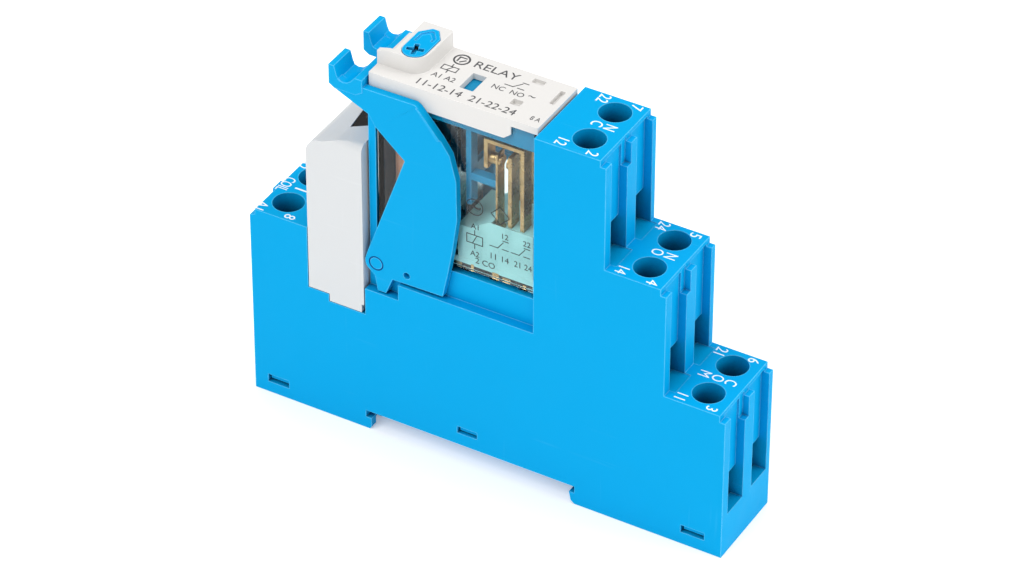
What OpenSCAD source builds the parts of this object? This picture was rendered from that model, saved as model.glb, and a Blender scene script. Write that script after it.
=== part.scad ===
// Plug-in relay on a screw-terminal rail socket, with a release lever and a
// plug-in coil module. X runs along the socket, Y across it, Z up from the feet.

/* [Socket] */
// Length of the socket across the rail
sock_l = 78.6; // [78.6:0.1:79.2]
// Width of the socket along the rail
sock_w = 14.4; // [14.4:0.1:14.8]
// Height of the tallest contact step
step_z = 62.6; // [62.2:0.1:62.8]
// Drop from one contact step to the next
step_drop = 18.5; // [18.4:0.1:18.6]
// Distance from one contact step's end face to the next
step_pitch = 9.85; // [9.8:0.05:9.9]
// Height of the coil terminal step
coil_z = 33.2; // [33:0.1:33.4]
// Thickness of the outer skins
skin = 1.3; // [1.2:0.1:1.4]

/* [Rail] */
// Width of the recess between the hooks
rail_gap = 33.4; // [33.2:0.1:33.6]
// Left end of the recess between the hooks
rail_x = 20.2; // [20:0.1:20.4]
// Height of the feet below the recess floor
foot_h = 3.2; // [3.1:0.1:3.3]
// Depth of the undercut that takes one rail flange
undercut = 0.9; // [0.8:0.1:1.0]
// Travel of the rail latch
latch_travel = 2.4; // [2:0.1:2.6]

/* [Terminals] */
// Radius of the screwdriver holes
drive_r = 2.4; // [2.3:0.05:2.4]
// Distance from a screw's axis to the step's end face
screw_in = 4.75; // [4.7:0.05:4.8]
// Depth of the screw head below the step
head_deep = 4.2; // [4:0.1:4.4]
// Radius of the screw head
head_r = 2.15; // [2.0:0.05:2.2]
// Radius of the screw shank
shank_r = 1.5; // [1.5:0.05:1.5]
// Height of the wire openings
wire_h = 5.4; // [5.2:0.1:5.5]
// Thickness of the contact bars
bar_t = 0.8; // [0.7:0.05:0.8]
// Width of the contact bars
bar_w = 2.4; // [2.2:0.1:2.4]

/* [Relay] */
// Width of the relay
relay_w = 11.3; // [11.2:0.1:11.3]
// Left end of the cap
cap_x0 = 19.8; // [19.8:0.1:19.9]
// Right end of the cap
cap_x1 = 47.2; // [47:0.1:47.3]
// Height of the cap's top face
cap_z = 63.2; // [63.1:0.1:63.3]
// Thickness of the clear case
case_t = 0.7; // [0.6:0.05:0.8]
// Thickness of the plug-in blades
blade_t = 0.5; // [0.5:0.01:0.52]
// Radius of the coil winding
winding_r = 4.3; // [4.0:0.1:4.3]

/* [Lever] */
// Thickness of the lever's arms
arm_t = 1.15; // [1.1:0.05:1.15]
// Radius of the lever's pivot studs
stud_r = 1.0; // [0.9:0.05:1.05]

/* [Module] */
// Width of the plug-in module
module_w = 9.35; // [9.3:0.01:9.35]
// Height of the module's highest edge
module_z = 50.9; // [50:0.1:51]

/* [Hidden] */
$fn = 48;
// Gap that a moving fit runs in
run = 0.05;
mid_y = sock_w / 2;
end_x = sock_l;
// Channel depth, and how far the top plate stands back, at a step's end face
channel_d = 1.35;
plate_back = 0.9;
// Rows of terminals, and rows of blades, front then back
TERM_Y = [3.85, 11.05];
ROW_Y = [3.85, 10.55];
// Left step
left_back = 0.9;
left_screw_x = 4.3;
module_x = 9.9;
bay_x = 19.5;
bay_wall_x = 20.8;
bay_end_x = 47.5;
bay_front_y = 1.55;
bay_ledge_z = 28.5;
bay_low_z = 25.8;
bay_step_x = 25.1;
roof_z = 33.3;
wall_top_z = 57;
module_floor_z = 21.1;
module_floor_high_z = 22.4;
// Terminal works, measured down from the top of their step
chamber_top = head_deep - 0.1;
bar_drop = 12.8;
wire_drop = 18.6;
cage_w = 4.3;
cage_l = 4.2;
// Fork contacts
fork_foot_z = 23.6;
fork_top_z = 31.9;
fork_leaf = 0.5;
blade_tip_z = 25.4;
blade_w = 2.2;
// Blade positions along X
PIN_COIL_X = 23.6;
PIN_COM_X = 34.8;
PIN_NO_X = 39.5;
PIN_NC_X = 44.2;
MODULE_PIN_X = 14.6;
// Rail
flange_z = 2.0;
// Relay
relay_y0 = mid_y - relay_w / 2;
relay_y1 = mid_y + relay_w / 2;
base_z = 34.3;
skirt_z = 59.6;
skirt_high_z = 62;
skirt_step_x = 42.9;
case_x0 = 21.1;
case_x1 = 47.1;
coil_x = 26.9;
core_r = 1.6;
winding_z0 = 38.8;
winding_z1 = 54.4;
armature_pivot = [33.3, 57.5];
leaf_x = 40;
leaf_z0 = 42;
leaf_z1 = 55.4;
leaf_t = 0.3;
tip_z = 54;
tip_r = 0.9;
strip_t = 0.6;
button_at = [24.8, 6.0];
boss_z = 66;
// Lever
lever_pivot = [21.3, 30.85];
arm_y = 0.3;
// The four contact names of each row, with their step and blade
STEPS = [["nc", 0], ["no", 1], ["com", 2]];
ROWS = [["front", 0], ["back", 1]];

SOCKET_BLUE = [0.02, 0.55, 0.86];
COVER_BLUE = [0.02, 0.42, 0.72];
CAP_WHITE = [0.92, 0.92, 0.90];
MODULE_GREY = [0.86, 0.87, 0.88];
MINT = [0.76, 0.90, 0.90];
COPPER = [0.72, 0.42, 0.28];
BRONZE = [0.66, 0.52, 0.40];
STEEL = [0.62, 0.63, 0.65];
CLEAR = [0.80, 0.93, 0.95, 0.3];

// ---- helpers ----

// Points of an arc about (cx, cz), from angle a0 to a1
function arc(cx, cz, r, a0, a1, n = 8) =
    [for (i = [0 : n]) [cx + r * cos(a0 + (a1 - a0) * i / n), cz + r * sin(a0 + (a1 - a0) * i / n)]];

// A box from its low corner to its high corner
module block(lo, hi) {
    translate(lo) cube([hi[0] - lo[0], hi[1] - lo[1], hi[2] - lo[2]]);
}

// An outline in X and Z, drawn out from y0 to y1
module side(points, y0, y1) {
    translate([0, y1, 0]) rotate([90, 0, 0]) linear_extrude(y1 - y0) polygon(points);
}

// A cylinder along Y
module ycyl(x, z, r, y0, y1) {
    translate([x, y1, z]) rotate([90, 0, 0]) cylinder(r = r, h = y1 - y0);
}

// A cylinder along Z
module zcyl(x, y, r, z0, z1) {
    translate([x, y, z0]) cylinder(r = r, h = z1 - z0);
}

// A flat strip of thickness t that follows corner points in X and Z
module strip(points, y, w, t) {
    for (i = [0 : len(points) - 2]) {
        a = points[i];
        b = points[i + 1];
        block([min(a[0], b[0]) - t / 2, y - w / 2, min(a[1], b[1]) - t / 2],
              [max(a[0], b[0]) + t / 2, y + w / 2, max(a[1], b[1]) + t / 2]);
    }
}

// Moves the corner that the sizes are counted from to the frame's origin
module placed() {
    translate([-sock_l / 2, -sock_w / 2, 0]) children();
}

// ---- places of the terminals ----

function step_end_x(i) = end_x - (2 - i) * step_pitch;
function step_top(i) = step_z - i * step_drop;
function screw_x(i) = step_end_x(i) - screw_in;

// Puts its children at a contact terminal: origin on the screw axis at the
// step's top, +X towards the wire
module at_contact(i, row) {
    translate([screw_x(i), TERM_Y[row], step_top(i)]) children();
}

// The same for a coil terminal, whose wire comes from the left
module at_coil(row) {
    translate([left_screw_x, TERM_Y[row], coil_z]) mirror([1, 0, 0]) children();
}

// ---- socket housing ----

// Space cut out of the housing for one terminal's works
module terminal_space(wall_x) {
    floor_x = wall_x - channel_d;
    translate([0, 0, -chamber_top]) cylinder(r = drive_r, h = chamber_top + 1);
    block([-2.7, -2.2, -wire_drop - 0.1], [floor_x - 0.6, 2.3, -chamber_top]);
    block([0, -2.2, -wire_drop], [floor_x + 0.5, 2.3, -wire_drop + wire_h]);
}

// The ribbed end of one step: two channels, and the top plate set back
module step_end_cut(i) {
    x = step_end_x(i);
    top = step_top(i);
    foot = top - wire_drop;
    for (row = [0, 1]) {
        y = TERM_Y[row];
        block([x - channel_d, y - 2.25, foot], [x + 1, y + 2.3, top - 0.7]);
    }
    block([x - plate_back, -1, top - 1.1], [x + 1, sock_w + 1, top + 1]);
    // Slot for a bridging link, in the side of the middle rib
    block([x - 1.05, TERM_Y[0] + 2.2, top - 4.6], [x + 1, TERM_Y[0] + 3.4, top - 0.4]);
}

// Hollow behind the terminals of one row, open to the base
module row_hollow(row) {
    y0 = row == 0 ? bay_front_y + 1 : mid_y + 0.8;
    y1 = row == 0 ? mid_y - 0.8 : relay_y1 - 1;
    z0 = foot_h + 1.3;
    block([7.9, y0, z0], [21.9, y1, module_floor_z - 1.2]);
    block([8.0, y0, z0], [9.2, y1, 21]);
    block([21.8, y0, z0], [46.4, y1, roof_z - 1.2]);
    block([46.3, y0, z0], [70, y1, 24]);
    block([48.4, y0, 23.9], [60.2, y1, 42.5]);
    block([48.4, y0, 42.4], [50.35, y1, 50.6]);
}

// Outline of the socket seen from the front
module socket_outline(y0, y1) {
    flange_l = rail_x - undercut;
    flange_r = rail_x + rail_gap + undercut;
    side([[0, 0], [rail_x - 0.3, 0], [rail_x, 0.4], [rail_x, flange_z], [flange_l, flange_z],
          [flange_l, foot_h], [flange_r, foot_h], [flange_r, flange_z],
          [rail_x + rail_gap, flange_z], [rail_x + rail_gap + 0.3, 0.5],
          [rail_x + rail_gap + 0.9, 0], [end_x, 0],
          [end_x, step_top(2)], [step_end_x(1), step_top(2)], [step_end_x(1), step_top(1)],
          [step_end_x(0), step_top(1)], [step_end_x(0), step_top(0)],
          [bay_end_x, step_top(0)], [bay_end_x, bay_ledge_z], [bay_step_x, bay_ledge_z],
          [bay_step_x, bay_low_z], [bay_x, bay_low_z], [bay_x, module_floor_z],
          [13.3, module_floor_z], [13.3, module_floor_high_z], [9.8, module_floor_high_z],
          [9.8, coil_z], [left_back, coil_z], [left_back, coil_z - 0.9], [0, coil_z - 1.3]],
         y0, y1);
}

module socket_housing() color(SOCKET_BLUE) {
    difference() {
        union() {
            socket_outline(0, sock_w);
            // Block under the relay, and the wall between relay and module
            block([bay_x, bay_front_y, bay_low_z - 1], [bay_end_x + 0.5, relay_y1, roof_z]);
            block([bay_x + 0.1, bay_front_y, roof_z - 1], [bay_wall_x, relay_y1, wall_top_z]);
            // Pivot studs of the release lever
            ycyl(lever_pivot[0], lever_pivot[1], stud_r, arm_y, sock_w - arm_y);
            // Rib that stands out on the coil end
            block([0, 6.3, 1], [left_back + 0.2, 8.5, coil_z - 0.6]);
        }
        // Terminals
        for (row = [0, 1]) {
            for (i = [0 : 2]) {
                at_contact(i, row) terminal_space(screw_in);
            }
            at_coil(row) terminal_space(left_screw_x);
            row_hollow(row);
            // Wire channels at the coil end
            block([-1, TERM_Y[row] - 2.25, coil_z - wire_drop],
                  [channel_d, TERM_Y[row] + 2.3, coil_z - 1.6]);
            // Slots that hold the contact bars
            for (s = STEPS) {
                bar_path(s[1], row);
            }
            coil_bar_path(row);
            // Blade slots through the roof, and through the module floor
            for (x = [PIN_COIL_X, PIN_COM_X, PIN_NO_X, PIN_NC_X]) {
                block([x - 0.7, ROW_Y[row] - 1.3, roof_z - 2], [x + 0.7, ROW_Y[row] + 1.3, roof_z + 1]);
            }
            block([MODULE_PIN_X - 0.7, ROW_Y[row] - 1.3, module_floor_z - 2],
                  [MODULE_PIN_X + 0.7, ROW_Y[row] + 1.3, module_floor_z + 0.1]);
        }
        for (i = [0 : 2]) {
            step_end_cut(i);
        }
        // Open base that takes the cover and the latch
        block([skin, skin, -1], [end_x - skin, sock_w - skin, foot_h + 1.35]);
        block([-1, 2.5, -1], [skin + 1, 11.9, flange_z + 0.1]);
        // Snap windows
        for (w = WINDOWS) {
            block([w[0], -1, w[2]], [w[1], sock_w + 1, w[3]]);
        }
        // Pocket for the middle tongue of the cover
        block([34.8, skin, foot_h], [38.3, skin + 1.1, 6.7]);
        block([34.8, sock_w - skin - 1.1, foot_h], [38.3, sock_w - skin, 6.7]);
    }
}

// Snap windows: left, right, bottom and top
WINDOWS = [[2.3, 5.9, 1.9, 3.3], [34.9, 38.2, 5.3, 6.5], [72, 75.8, 2.1, 3.4]];

// ---- cover and latch ----

module base_cover() color(COVER_BLUE) {
    y0 = skin + run;
    y1 = sock_w - skin - run;
    hook_x = rail_x + rail_gap;
    difference() {
        union() {
            block([skin + 0.1, y0, 2.1], [rail_x - undercut, y1, 3.3]);
            block([18, y0, foot_h], [hook_x + 2.2, y1, foot_h + 1.2]);
            block([hook_x + undercut, y0, 0.2], [hook_x + 2.2, y1, foot_h + 1.2]);
            block([hook_x + 0.3, y0, 0.2], [end_x - skin - 0.1, y1, 1.4]);
            block([hook_x + 0.1, y0, 0.6], [hook_x + undercut + 0.1, y1, flange_z]);
            // Side rails that guide the latch
            block([skin + 0.1, y0, 0.1], [rail_x - undercut, 3.0, 2.2]);
            block([skin + 0.1, 11.4, 0.1], [rail_x - undercut, y1, 2.2]);
            for (w = WINDOWS) {
                tongue(w, y0, y0 + 1);
                tongue(w, y1 - 1, y1);
            }
            // Snap lugs standing in the windows
            for (w = WINDOWS) {
                block([w[0] + 0.2, 0.5, w[3] - 0.95], [w[1] - 0.2, y0 + 0.1, w[3] - 0.15]);
                block([w[0] + 0.2, y1 - 0.1, w[3] - 0.95], [w[1] - 0.2, sock_w - 0.5, w[3] - 0.15]);
            }
        }
        // Grooves for the latch's edges
        block([0, 2.55, 1.0], [rail_x, 11.85, flange_z]);
    }
}

// A tongue that carries one snap lug
module tongue(w, y0, y1) {
    foot = w[0] > 60 ? 1.2 : w[0] > 30 ? foot_h + 0.5 : 2.2;
    block([w[0] + 0.2, y0, foot], [w[1] - 0.2, y1, w[3] - 0.15]);
}

module rail_latch() color(COVER_BLUE) {
    nose_x = rail_x + 0.8;
    difference() {
        union() {
            block([0.2, 3.1, 0.15], [rail_x - 1, 11.3, 1.9]);
            block([3.4, 2.6, 1.1], [rail_x - 1, 11.8, 1.9]);
            side([[rail_x - 1.1, 0.15], [nose_x - 0.9, 0.15], [nose_x, 1.2], [nose_x, 1.9],
                  [rail_x - 1.1, 1.9]], 3.1, 11.3);
        }
        // Screwdriver slot, and the windows that make the spring tongue
        block([1.6, 5.7, -1], [3.2, 8.7, 3]);
        block([8, 4.2, -1], [16, 4.9, 3]);
        block([8, 9.5, -1], [16, 10.2, 3]);
        block([15.2, 4.8, -1], [16, 6.8, 3]);
    }
}

// ---- contact bars ----

// Corner points of a contact bar, from its terminal to its fork
function bar_points(i) =
    let (
        tab_z = step_top(i) - bar_drop,
        tab_x = screw_x(i) + 1.7,
        riser_x = i == 0 ? 49.2 : 51.0,
        low_z = i == 0 ? 20.5 : 16.5,
        fork_x = [PIN_NC_X, PIN_NO_X, PIN_COM_X][i],
        down = i == 2 ? [] : [[riser_x, tab_z], [riser_x, low_z], [fork_x, low_z]]
    )
    concat([[tab_x, tab_z]], down, i == 2 ? [[fork_x, tab_z]] : [], [[fork_x, fork_foot_z]]);

// The plain strip of a contact bar
module bar_path(i, row) {
    y = ROW_Y[row];
    strip(bar_points(i), y, bar_w, bar_t);
}

module coil_bar_path(row) {
    low_z = 7.6;
    tab_z = coil_z - bar_drop;
    strip([[left_screw_x - 1.7, tab_z], [8.6, tab_z], [8.6, low_z], [PIN_COIL_X, low_z],
           [PIN_COIL_X, fork_foot_z]], ROW_Y[row], bar_w, bar_t);
}

// Two sprung leaves that grip a blade
module fork(x, y, foot_z, top_z) {
    outer = blade_t / 2 + 0.02 + fork_leaf;
    difference() {
        block([x - outer, y - bar_w / 2, foot_z], [x + outer, y + bar_w / 2, top_z]);
        block([x - blade_t / 2 - 0.02, y - bar_w, foot_z + 0.8], [x + blade_t / 2 + 0.02, y + bar_w, top_z + 1]);
    }
}

module contact_bar(i, row) color(BRONZE) {
    bar_path(i, row);
    fork([PIN_NC_X, PIN_NO_X, PIN_COM_X][i], ROW_Y[row], fork_foot_z, fork_top_z);
}

module contact_bar_coil(row) color(BRONZE) {
    coil_bar_path(row);
    fork(PIN_COIL_X, ROW_Y[row], fork_foot_z, fork_top_z);
    fork(MODULE_PIN_X, ROW_Y[row], 7.4, 16.5);
}

// ---- terminal screws and clamp cages ----

// A combination-head screw, hung from its terminal's origin
module terminal_screw() {
    head_z = -head_deep;
    difference() {
        union() {
            translate([0, 0, head_z - 1.8]) cylinder(r = head_r, h = 1.8);
            translate([0, 0, 0.05 + bar_t / 2 - bar_drop])
                cylinder(r = shank_r, h = bar_drop - head_deep - bar_t / 2 - 0.1);
        }
        block([-head_r - 1, -0.4, head_z - 0.9], [head_r + 1, 0.4, head_z + 1]);
        block([-0.4, -1.5, head_z - 0.9], [0.4, 1.5, head_z + 1]);
    }
}

// A cage that the screw lifts against the contact bar
module clamp_cage() {
    top = bar_t / 2 - bar_drop + 0.2;
    bottom = -wire_drop + 0.1;
    half_l = cage_l / 2;
    half_w = cage_w / 2;
    difference() {
        block([-half_l, -half_w, bottom], [half_l, half_w, top + 1.4]);
        block([-half_l - 1, -half_w + 0.4, bottom + 0.9], [half_l + 1, half_w - 0.4, top]);
        translate([0, 0, top - 1]) cylinder(r = shank_r + run, h = 4);
    }
}

// ---- release lever ----

// Outline of one arm
ARM = concat(
    [[14.0, 63.3], [14.0, 60.1], [15.0, 59.4], [20.4, 56.9], [21.5, 55.1], [26.3, 50.8], [19.9, 32.6]],
    arc(lever_pivot[0], lever_pivot[1], 1.85, 160, 215),
    [[21.1, 28.6], [21.5, 26.1], [22.9, 26.1], [24.0, 28.95], [32.4, 29.1],
     [33.4, 34.0], [34.1, 38.0], [34.85, 43.4], [34.75, 50.2], [33.7, 54.3], [32.2, 56.5],
     [28.7, 60.6], [28.0, 61.1], [17.6, 61.0], [16.2, 60.95], [15.5, 61.3], [15.1, 62.2], [14.9, 63.3]]
);

// Outline of the finger tabs and of the bridge between the arms
TAB = [[14.0, 63.3], [14.0, 60.1], [14.9, 59.5], [18.4, 59.5], [19.5, 60.2], [19.5, 62.3], [18.3, 62.3],
       [17.7, 61.6], [17.0, 61.05], [16.2, 60.9], [15.6, 61.1], [15.3, 61.8], [15.1, 62.6], [14.9, 63.3]];
BRIDGE = [[17.9, 59.7], [19.5, 60.2], [19.5, 62.3], [18.3, 62.3], [17.7, 61.6]];

module release_lever() color(SOCKET_BLUE) {
    back_y = sock_w - arm_y;
    difference() {
        union() {
            side(ARM, arm_y, arm_y + arm_t);
            side(ARM, back_y - arm_t, back_y);
            side(TAB, 0.2, 4.75);
            side(TAB, sock_w - 4.75, sock_w - 0.2);
            side(BRIDGE, 1, sock_w - 1);
            // Grip ridge along the slanted edge
            ridge(arm_y - 0.2, arm_y + 0.4);
            ridge(back_y - 0.4, back_y + 0.2);
        }
        ycyl(lever_pivot[0], lever_pivot[1], stud_r + run, -1, sock_w + 1);
        ycyl(26.4, 30.5, 0.55, -1, sock_w + 1);
    }
}

module ridge(y0, y1) {
    side([[28.3, 60.7], [28.7, 60.6], [32.2, 56.5], [31.8, 56.3]], y0, y1);
}

// ---- plug-in module ----

MODULE_OUTLINE = concat(
    [[module_x, 22.5], [13.4, 22.5], [13.4, 21.2], [18.85, 21.2], [18.85, 22.6],
     [module_x + module_w, 22.6], [module_x + module_w, module_z], [17.6, module_z], [15, 50.4], [12.5, 49.4]],
    arc(12.5, 46.8, 2.6, 100, 180)
);

// Outline of the module seen from the end, with rounded shoulders
module module_side_outline() {
    r = 1.3;
    w = sock_w - 0.1;
    top = module_z + 0.05;
    translate([0, 0.05, 0]) rotate([90, 0, 90]) linear_extrude(40)
        polygon(concat([[0, 20], [w, 20]], arc(w - r, top - r, r, 0, 90), arc(r, top - r, r, 90, 180)));
}

module module_shell() color(MODULE_GREY) {
    wall = 0.9;
    difference() {
        intersection() {
            side(MODULE_OUTLINE, 0.05, sock_w - 0.05);
            module_side_outline();
        }
        // Hollow for the board
        block([module_x + wall, 0.05 + wall, 20], [module_x + module_w - wall, sock_w - 0.05 - wall, 45.6]);
        block([12.5, 1.2, 45], [module_x + module_w - wall, sock_w - 1.2, 48.4]);
        // Window for the lens
        side_plan([[15.0, 4.1], [14.1, 9.3], [17.8, 10.2], [18.0, 5.3]], 47, 52);
    }
}

// An outline in X and Y, drawn up from z0 to z1
module side_plan(points, z0, z1) {
    translate([0, 0, z0]) linear_extrude(z1 - z0) polygon(points);
}

module module_lens() color([0.12, 0.06, 0.05, 0.7]) {
    side_plan([[15.05, 4.2], [14.2, 9.2], [17.7, 10.1], [17.9, 5.4]], 48.45, 50.2);
}

module module_board() color([0.05, 0.32, 0.16]) {
    block([15.0, 1.8, 22.7], [15.9, 12.6, 45.2]);
    // Foot that closes the shell and holds the blades
    block([module_x + 0.95, 1.0, 22.65], [14.9, 13.4, 23.6]);
    block([15.95, 1.0, 22.65], [module_x + module_w - 0.95, 13.4, 23.6]);
}

module module_blades() color(BRONZE) {
    for (row = [0, 1]) {
        y = ROW_Y[row];
        block([MODULE_PIN_X - blade_t / 2, y - 1.0, 10.8], [MODULE_PIN_X + blade_t / 2, y + 1.0, 22.6]);
        block([MODULE_PIN_X - blade_t / 2, y - 1.0, 22.6], [14.95, y + 1.0, 22.65]);
    }
}

module module_lamp() color([0.2, 0.75, 0.3]) {
    zcyl(16.9, mid_y, 1.0, 44.2, 47.2);
    translate([16.9, mid_y, 47.2]) sphere(r = 1.0);
    block([15.9, mid_y - 1, 43.4], [17.9, mid_y + 1, 44.2]);
}

module module_diode() color([0.1, 0.1, 0.11]) {
    translate([16.95, ROW_Y[0], 27]) cylinder(r = 1.0, h = 5);
    translate([16.95, ROW_Y[1], 27]) cylinder(r = 0.9, h = 6);
    for (y = ROW_Y) {
        zcyl(16.95, y, 0.3, 25.2, 27);
        block([15.9, y - 0.3, 25.2], [17.1, y + 0.3, 25.7]);
    }
}

// ---- relay ----

module relay_base() color(MINT) {
    difference() {
        union() {
            block([case_x0 + case_t + run, relay_y0 + case_t + 0.1, base_z],
                  [case_x1 - case_t - run, relay_y1 - case_t - 0.1, base_z + 1.6]);
            // Feet that stand on the socket
            for (x = [case_x0 + 1, 29.3, case_x1 - 2]) {
                block([x, relay_y0 + 1.1, roof_z], [x + 1, relay_y1 - 1.1, base_z + 0.1]);
            }
            // Contact block
            side([[33.9, base_z + 1.5], [46.2, base_z + 1.5], [46.2, 43.6], [39, 43.6], [36, 41.5], [33.9, 41.5]],
                 relay_y0 + 0.85, relay_y1 - 0.85);
            // Cradle of the bobbin
            block([21.95, relay_y0 + 0.85, base_z + 1.5], [31.6, relay_y1 - 0.85, 37.6]);
        }
        for (row = [0, 1]) {
            y = ROW_Y[row];
            block([PIN_COIL_X - blade_t / 2, y - blade_w / 2, base_z - 1],
                  [PIN_COIL_X + blade_t / 2, y + blade_w / 2, 38]);
            for (s = STEPS) {
                contact_strip(s[1], row);
            }
            // Room for the moving leaf
            block([leaf_x - 0.6, y - 1.4, leaf_z0 - 0.6], [leaf_x + 1.6, y + 1.4, 44]);
        }
        // Seat of the core and foot of the yoke
        zcyl(coil_x, mid_y, core_r, 36.6, 38);
        block([coil_x - 2, mid_y - 3.65, 36.5], [33.3, mid_y + 3.65, 37.7]);
    }
}

module relay_case() color(CLEAR) {
    y0 = relay_y0 + 0.05;
    y1 = relay_y1 - 0.05;
    difference() {
        side([[case_x0, base_z], [case_x1, base_z], [case_x1, skirt_high_z - 0.02], [skirt_step_x + 0.02, skirt_high_z - 0.02],
              [skirt_step_x + 0.02, skirt_z + 0.98], [skirt_step_x - 1.2, skirt_z - 0.02], [case_x0, skirt_z - 0.02]], y0, y1);
        block([case_x0 + case_t, y0 + case_t, base_z - 1], [case_x1 - case_t, y1 - case_t, 70]);
    }
}

module relay_cap() color(CAP_WHITE) {
    wall = 0.8;
    difference() {
        union() {
            side([[cap_x0, skirt_z], [skirt_step_x - 1.2, skirt_z], [skirt_step_x, skirt_z + 1],
                  [skirt_step_x, skirt_high_z], [cap_x1, skirt_high_z], [cap_x1, cap_z], [cap_x0, cap_z]],
                 relay_y0, relay_y1);
            cap_boss();
        }
        // Hollow below the top plate
        block([case_x0 - wall + 0.3, relay_y0 + wall, skirt_z - 1], [case_x1 - wall, relay_y1 - wall, cap_z - 1]);
        // Flag window and the small pockets
        block([32.7, 4.75, 60], [34.9, 8.7, 65]);
        block([40.8, 10.85, cap_z - 0.6], [42.7, 11.9, 65]);
        block([40.7, 4.85, cap_z - 0.8], [42.3, 6.2, 65]);
        block([45.5, 7.65, cap_z - 0.7], [46.3, 11.1, 65]);
        // Seat and bore of the test button
        side_plan(button_outline(run), boss_z - 1.5, boss_z + 1);
        zcyl(button_at[0], button_at[1], 1.2 + run, 60, boss_z);
    }
    // Lip that plugs into the case
    difference() {
        block([case_x0 + case_t + run, relay_y0 + wall, skirt_z - 1.2],
              [case_x1 - case_t - run, relay_y1 - wall, cap_z - 0.9]);
        block([case_x0 + case_t + 0.8, relay_y0 + wall + 0.7, skirt_z - 2],
              [case_x1 - case_t - 0.8, relay_y1 - wall - 0.7, cap_z]);
    }
}

// Raised shield round the test button
module cap_boss() {
    rim_x = 27.1;
    low_y = 3.9;
    corner = 2.5;
    side_plan(concat([[22.2, relay_y1], [22.2, low_y]],
                     arc(rim_x - corner, low_y + corner, corner, 270, 360), [[rim_x, relay_y1]]),
              cap_z - 0.5, boss_z);
    side([[cap_x0, cap_z - 0.5], [22.3, cap_z - 0.5], [22.3, boss_z], [21.6, boss_z],
          [cap_x0, boss_z - 0.5]], low_y, low_y + 0.8);
}

// Outline of the button: a round end about its stem, and a pointed end
function button_outline(grow) =
    let (r = 1.85 + grow, x = button_at[0], y = button_at[1])
    concat(arc(x, y, r, 180, 360, 16),
           [[x + r, y + 3.8], [x + 0.6, y + 5.6 + grow], [x - 0.4, y + 5.6 + grow], [x - r, y + 4.0]]);

module test_button() color(SOCKET_BLUE) {
    cross = 0.35;
    head_z0 = boss_z - 0.2;
    difference() {
        union() {
            side_plan(button_outline(0), boss_z - 0.3, boss_z + 0.1);
            zcyl(button_at[0], button_at[1], 1.2, 59.4, boss_z);
        }
        for (a = [15, 105]) {
            translate([button_at[0], button_at[1], head_z0 - 0.6]) rotate([0, 0, a])
                translate([-1.3, -cross, 0]) cube([2.6, 2 * cross, 3]);
        }
        // Engraved roof mark
        side_plan([[23.5, 7.9], [23.5, 9.8], [24.6, 11.0], [25.0, 11.0], [26.1, 9.6], [26.1, 8.7],
                   [25.7, 8.7], [25.7, 9.3], [24.8, 10.3], [23.9, 9.5], [23.9, 7.9]], boss_z - 0.1, boss_z + 1);
    }
}

module coil_bobbin() color([0.10, 0.10, 0.11]) {
    difference() {
        union() {
            zcyl(coil_x, mid_y, 2.2, winding_z0 - 0.6, winding_z1 + 0.6);
            block([coil_x - 5, mid_y - 4.6, winding_z0 - 1], [coil_x + 4.9, mid_y + 4.6, winding_z0]);
            block([coil_x - 5, mid_y - 4.6, winding_z1], [coil_x + 4.9, mid_y + 4.6, winding_z1 + 1]);
        }
        zcyl(coil_x, mid_y, core_r, winding_z0 - 2, winding_z1 + 2);
    }
}

module coil_winding() color(COPPER) {
    difference() {
        zcyl(coil_x, mid_y, winding_r, winding_z0, winding_z1);
        zcyl(coil_x, mid_y, 2.2, winding_z0 - 1, winding_z1 + 1);
    }
}

module coil_core() color(STEEL) {
    zcyl(coil_x, mid_y, core_r, 36.6, winding_z1 + 1.2);
    zcyl(coil_x, mid_y, 2.6, winding_z1 + 1.1, winding_z1 + 2.2);
}

module coil_yoke() color(STEEL) {
    difference() {
        union() {
            block([coil_x - 1.9, mid_y - 3.6, 36.55], [33.2, mid_y + 3.6, 37.65]);
            block([32.1, mid_y - 3.6, 36.6], [33.2, mid_y + 3.6, armature_pivot[1] - 0.15]);
        }
        zcyl(coil_x, mid_y, core_r, 35, 39);
    }
}

// L-shaped plate that rocks on the yoke's top edge
module armature() color(STEEL) {
    z = armature_pivot[1] - 0.05;
    block([22.6, mid_y - 3.2, z], [34.4, mid_y + 3.2, z + 1]);
    block([33.5, mid_y - 3.2, 49.6], [34.4, mid_y + 3.2, z + 0.5]);
}

// Blue card that carries the armature's stroke to the leaves and the flag
module actuator_card() color([0.0, 0.50, 0.66]) {
    for (y = [mid_y - 4.05, mid_y + 2.25]) {
        block([34.85, y, 45], [35.7, y + 1.8, 58.95]);
    }
    block([34.85, mid_y - 4.05, 48.7], [35.7, mid_y + 4.05, 51.3]);
    block([34.45, mid_y - 2.2, 49.7], [34.95, mid_y + 2.2, 50.5]);
    // Pushers on the leaves
    for (y = ROW_Y) {
        block([35.6, y - 0.7, 49.4], [leaf_x - leaf_t / 2 - 0.05, y + 0.7, 50.6]);
    }
    // Flag under the window, and the arm beside it
    block([31.4, 4.0, 58.9], [36.4, 9.8, 59.6]);
    block([34.85, mid_y - 4.05, 58.9], [43.2, mid_y - 2.6, 59.6]);
    block([42.4, mid_y - 4.05, 57.9], [43.2, mid_y - 2.6, 58.95]);
}

module coil_pins() color(BRONZE) {
    for (row = [0, 1]) {
        block([PIN_COIL_X - blade_t / 2, ROW_Y[row] - blade_w / 2, blade_tip_z],
              [PIN_COIL_X + blade_t / 2, ROW_Y[row] + blade_w / 2, 37.5]);
    }
}

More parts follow.
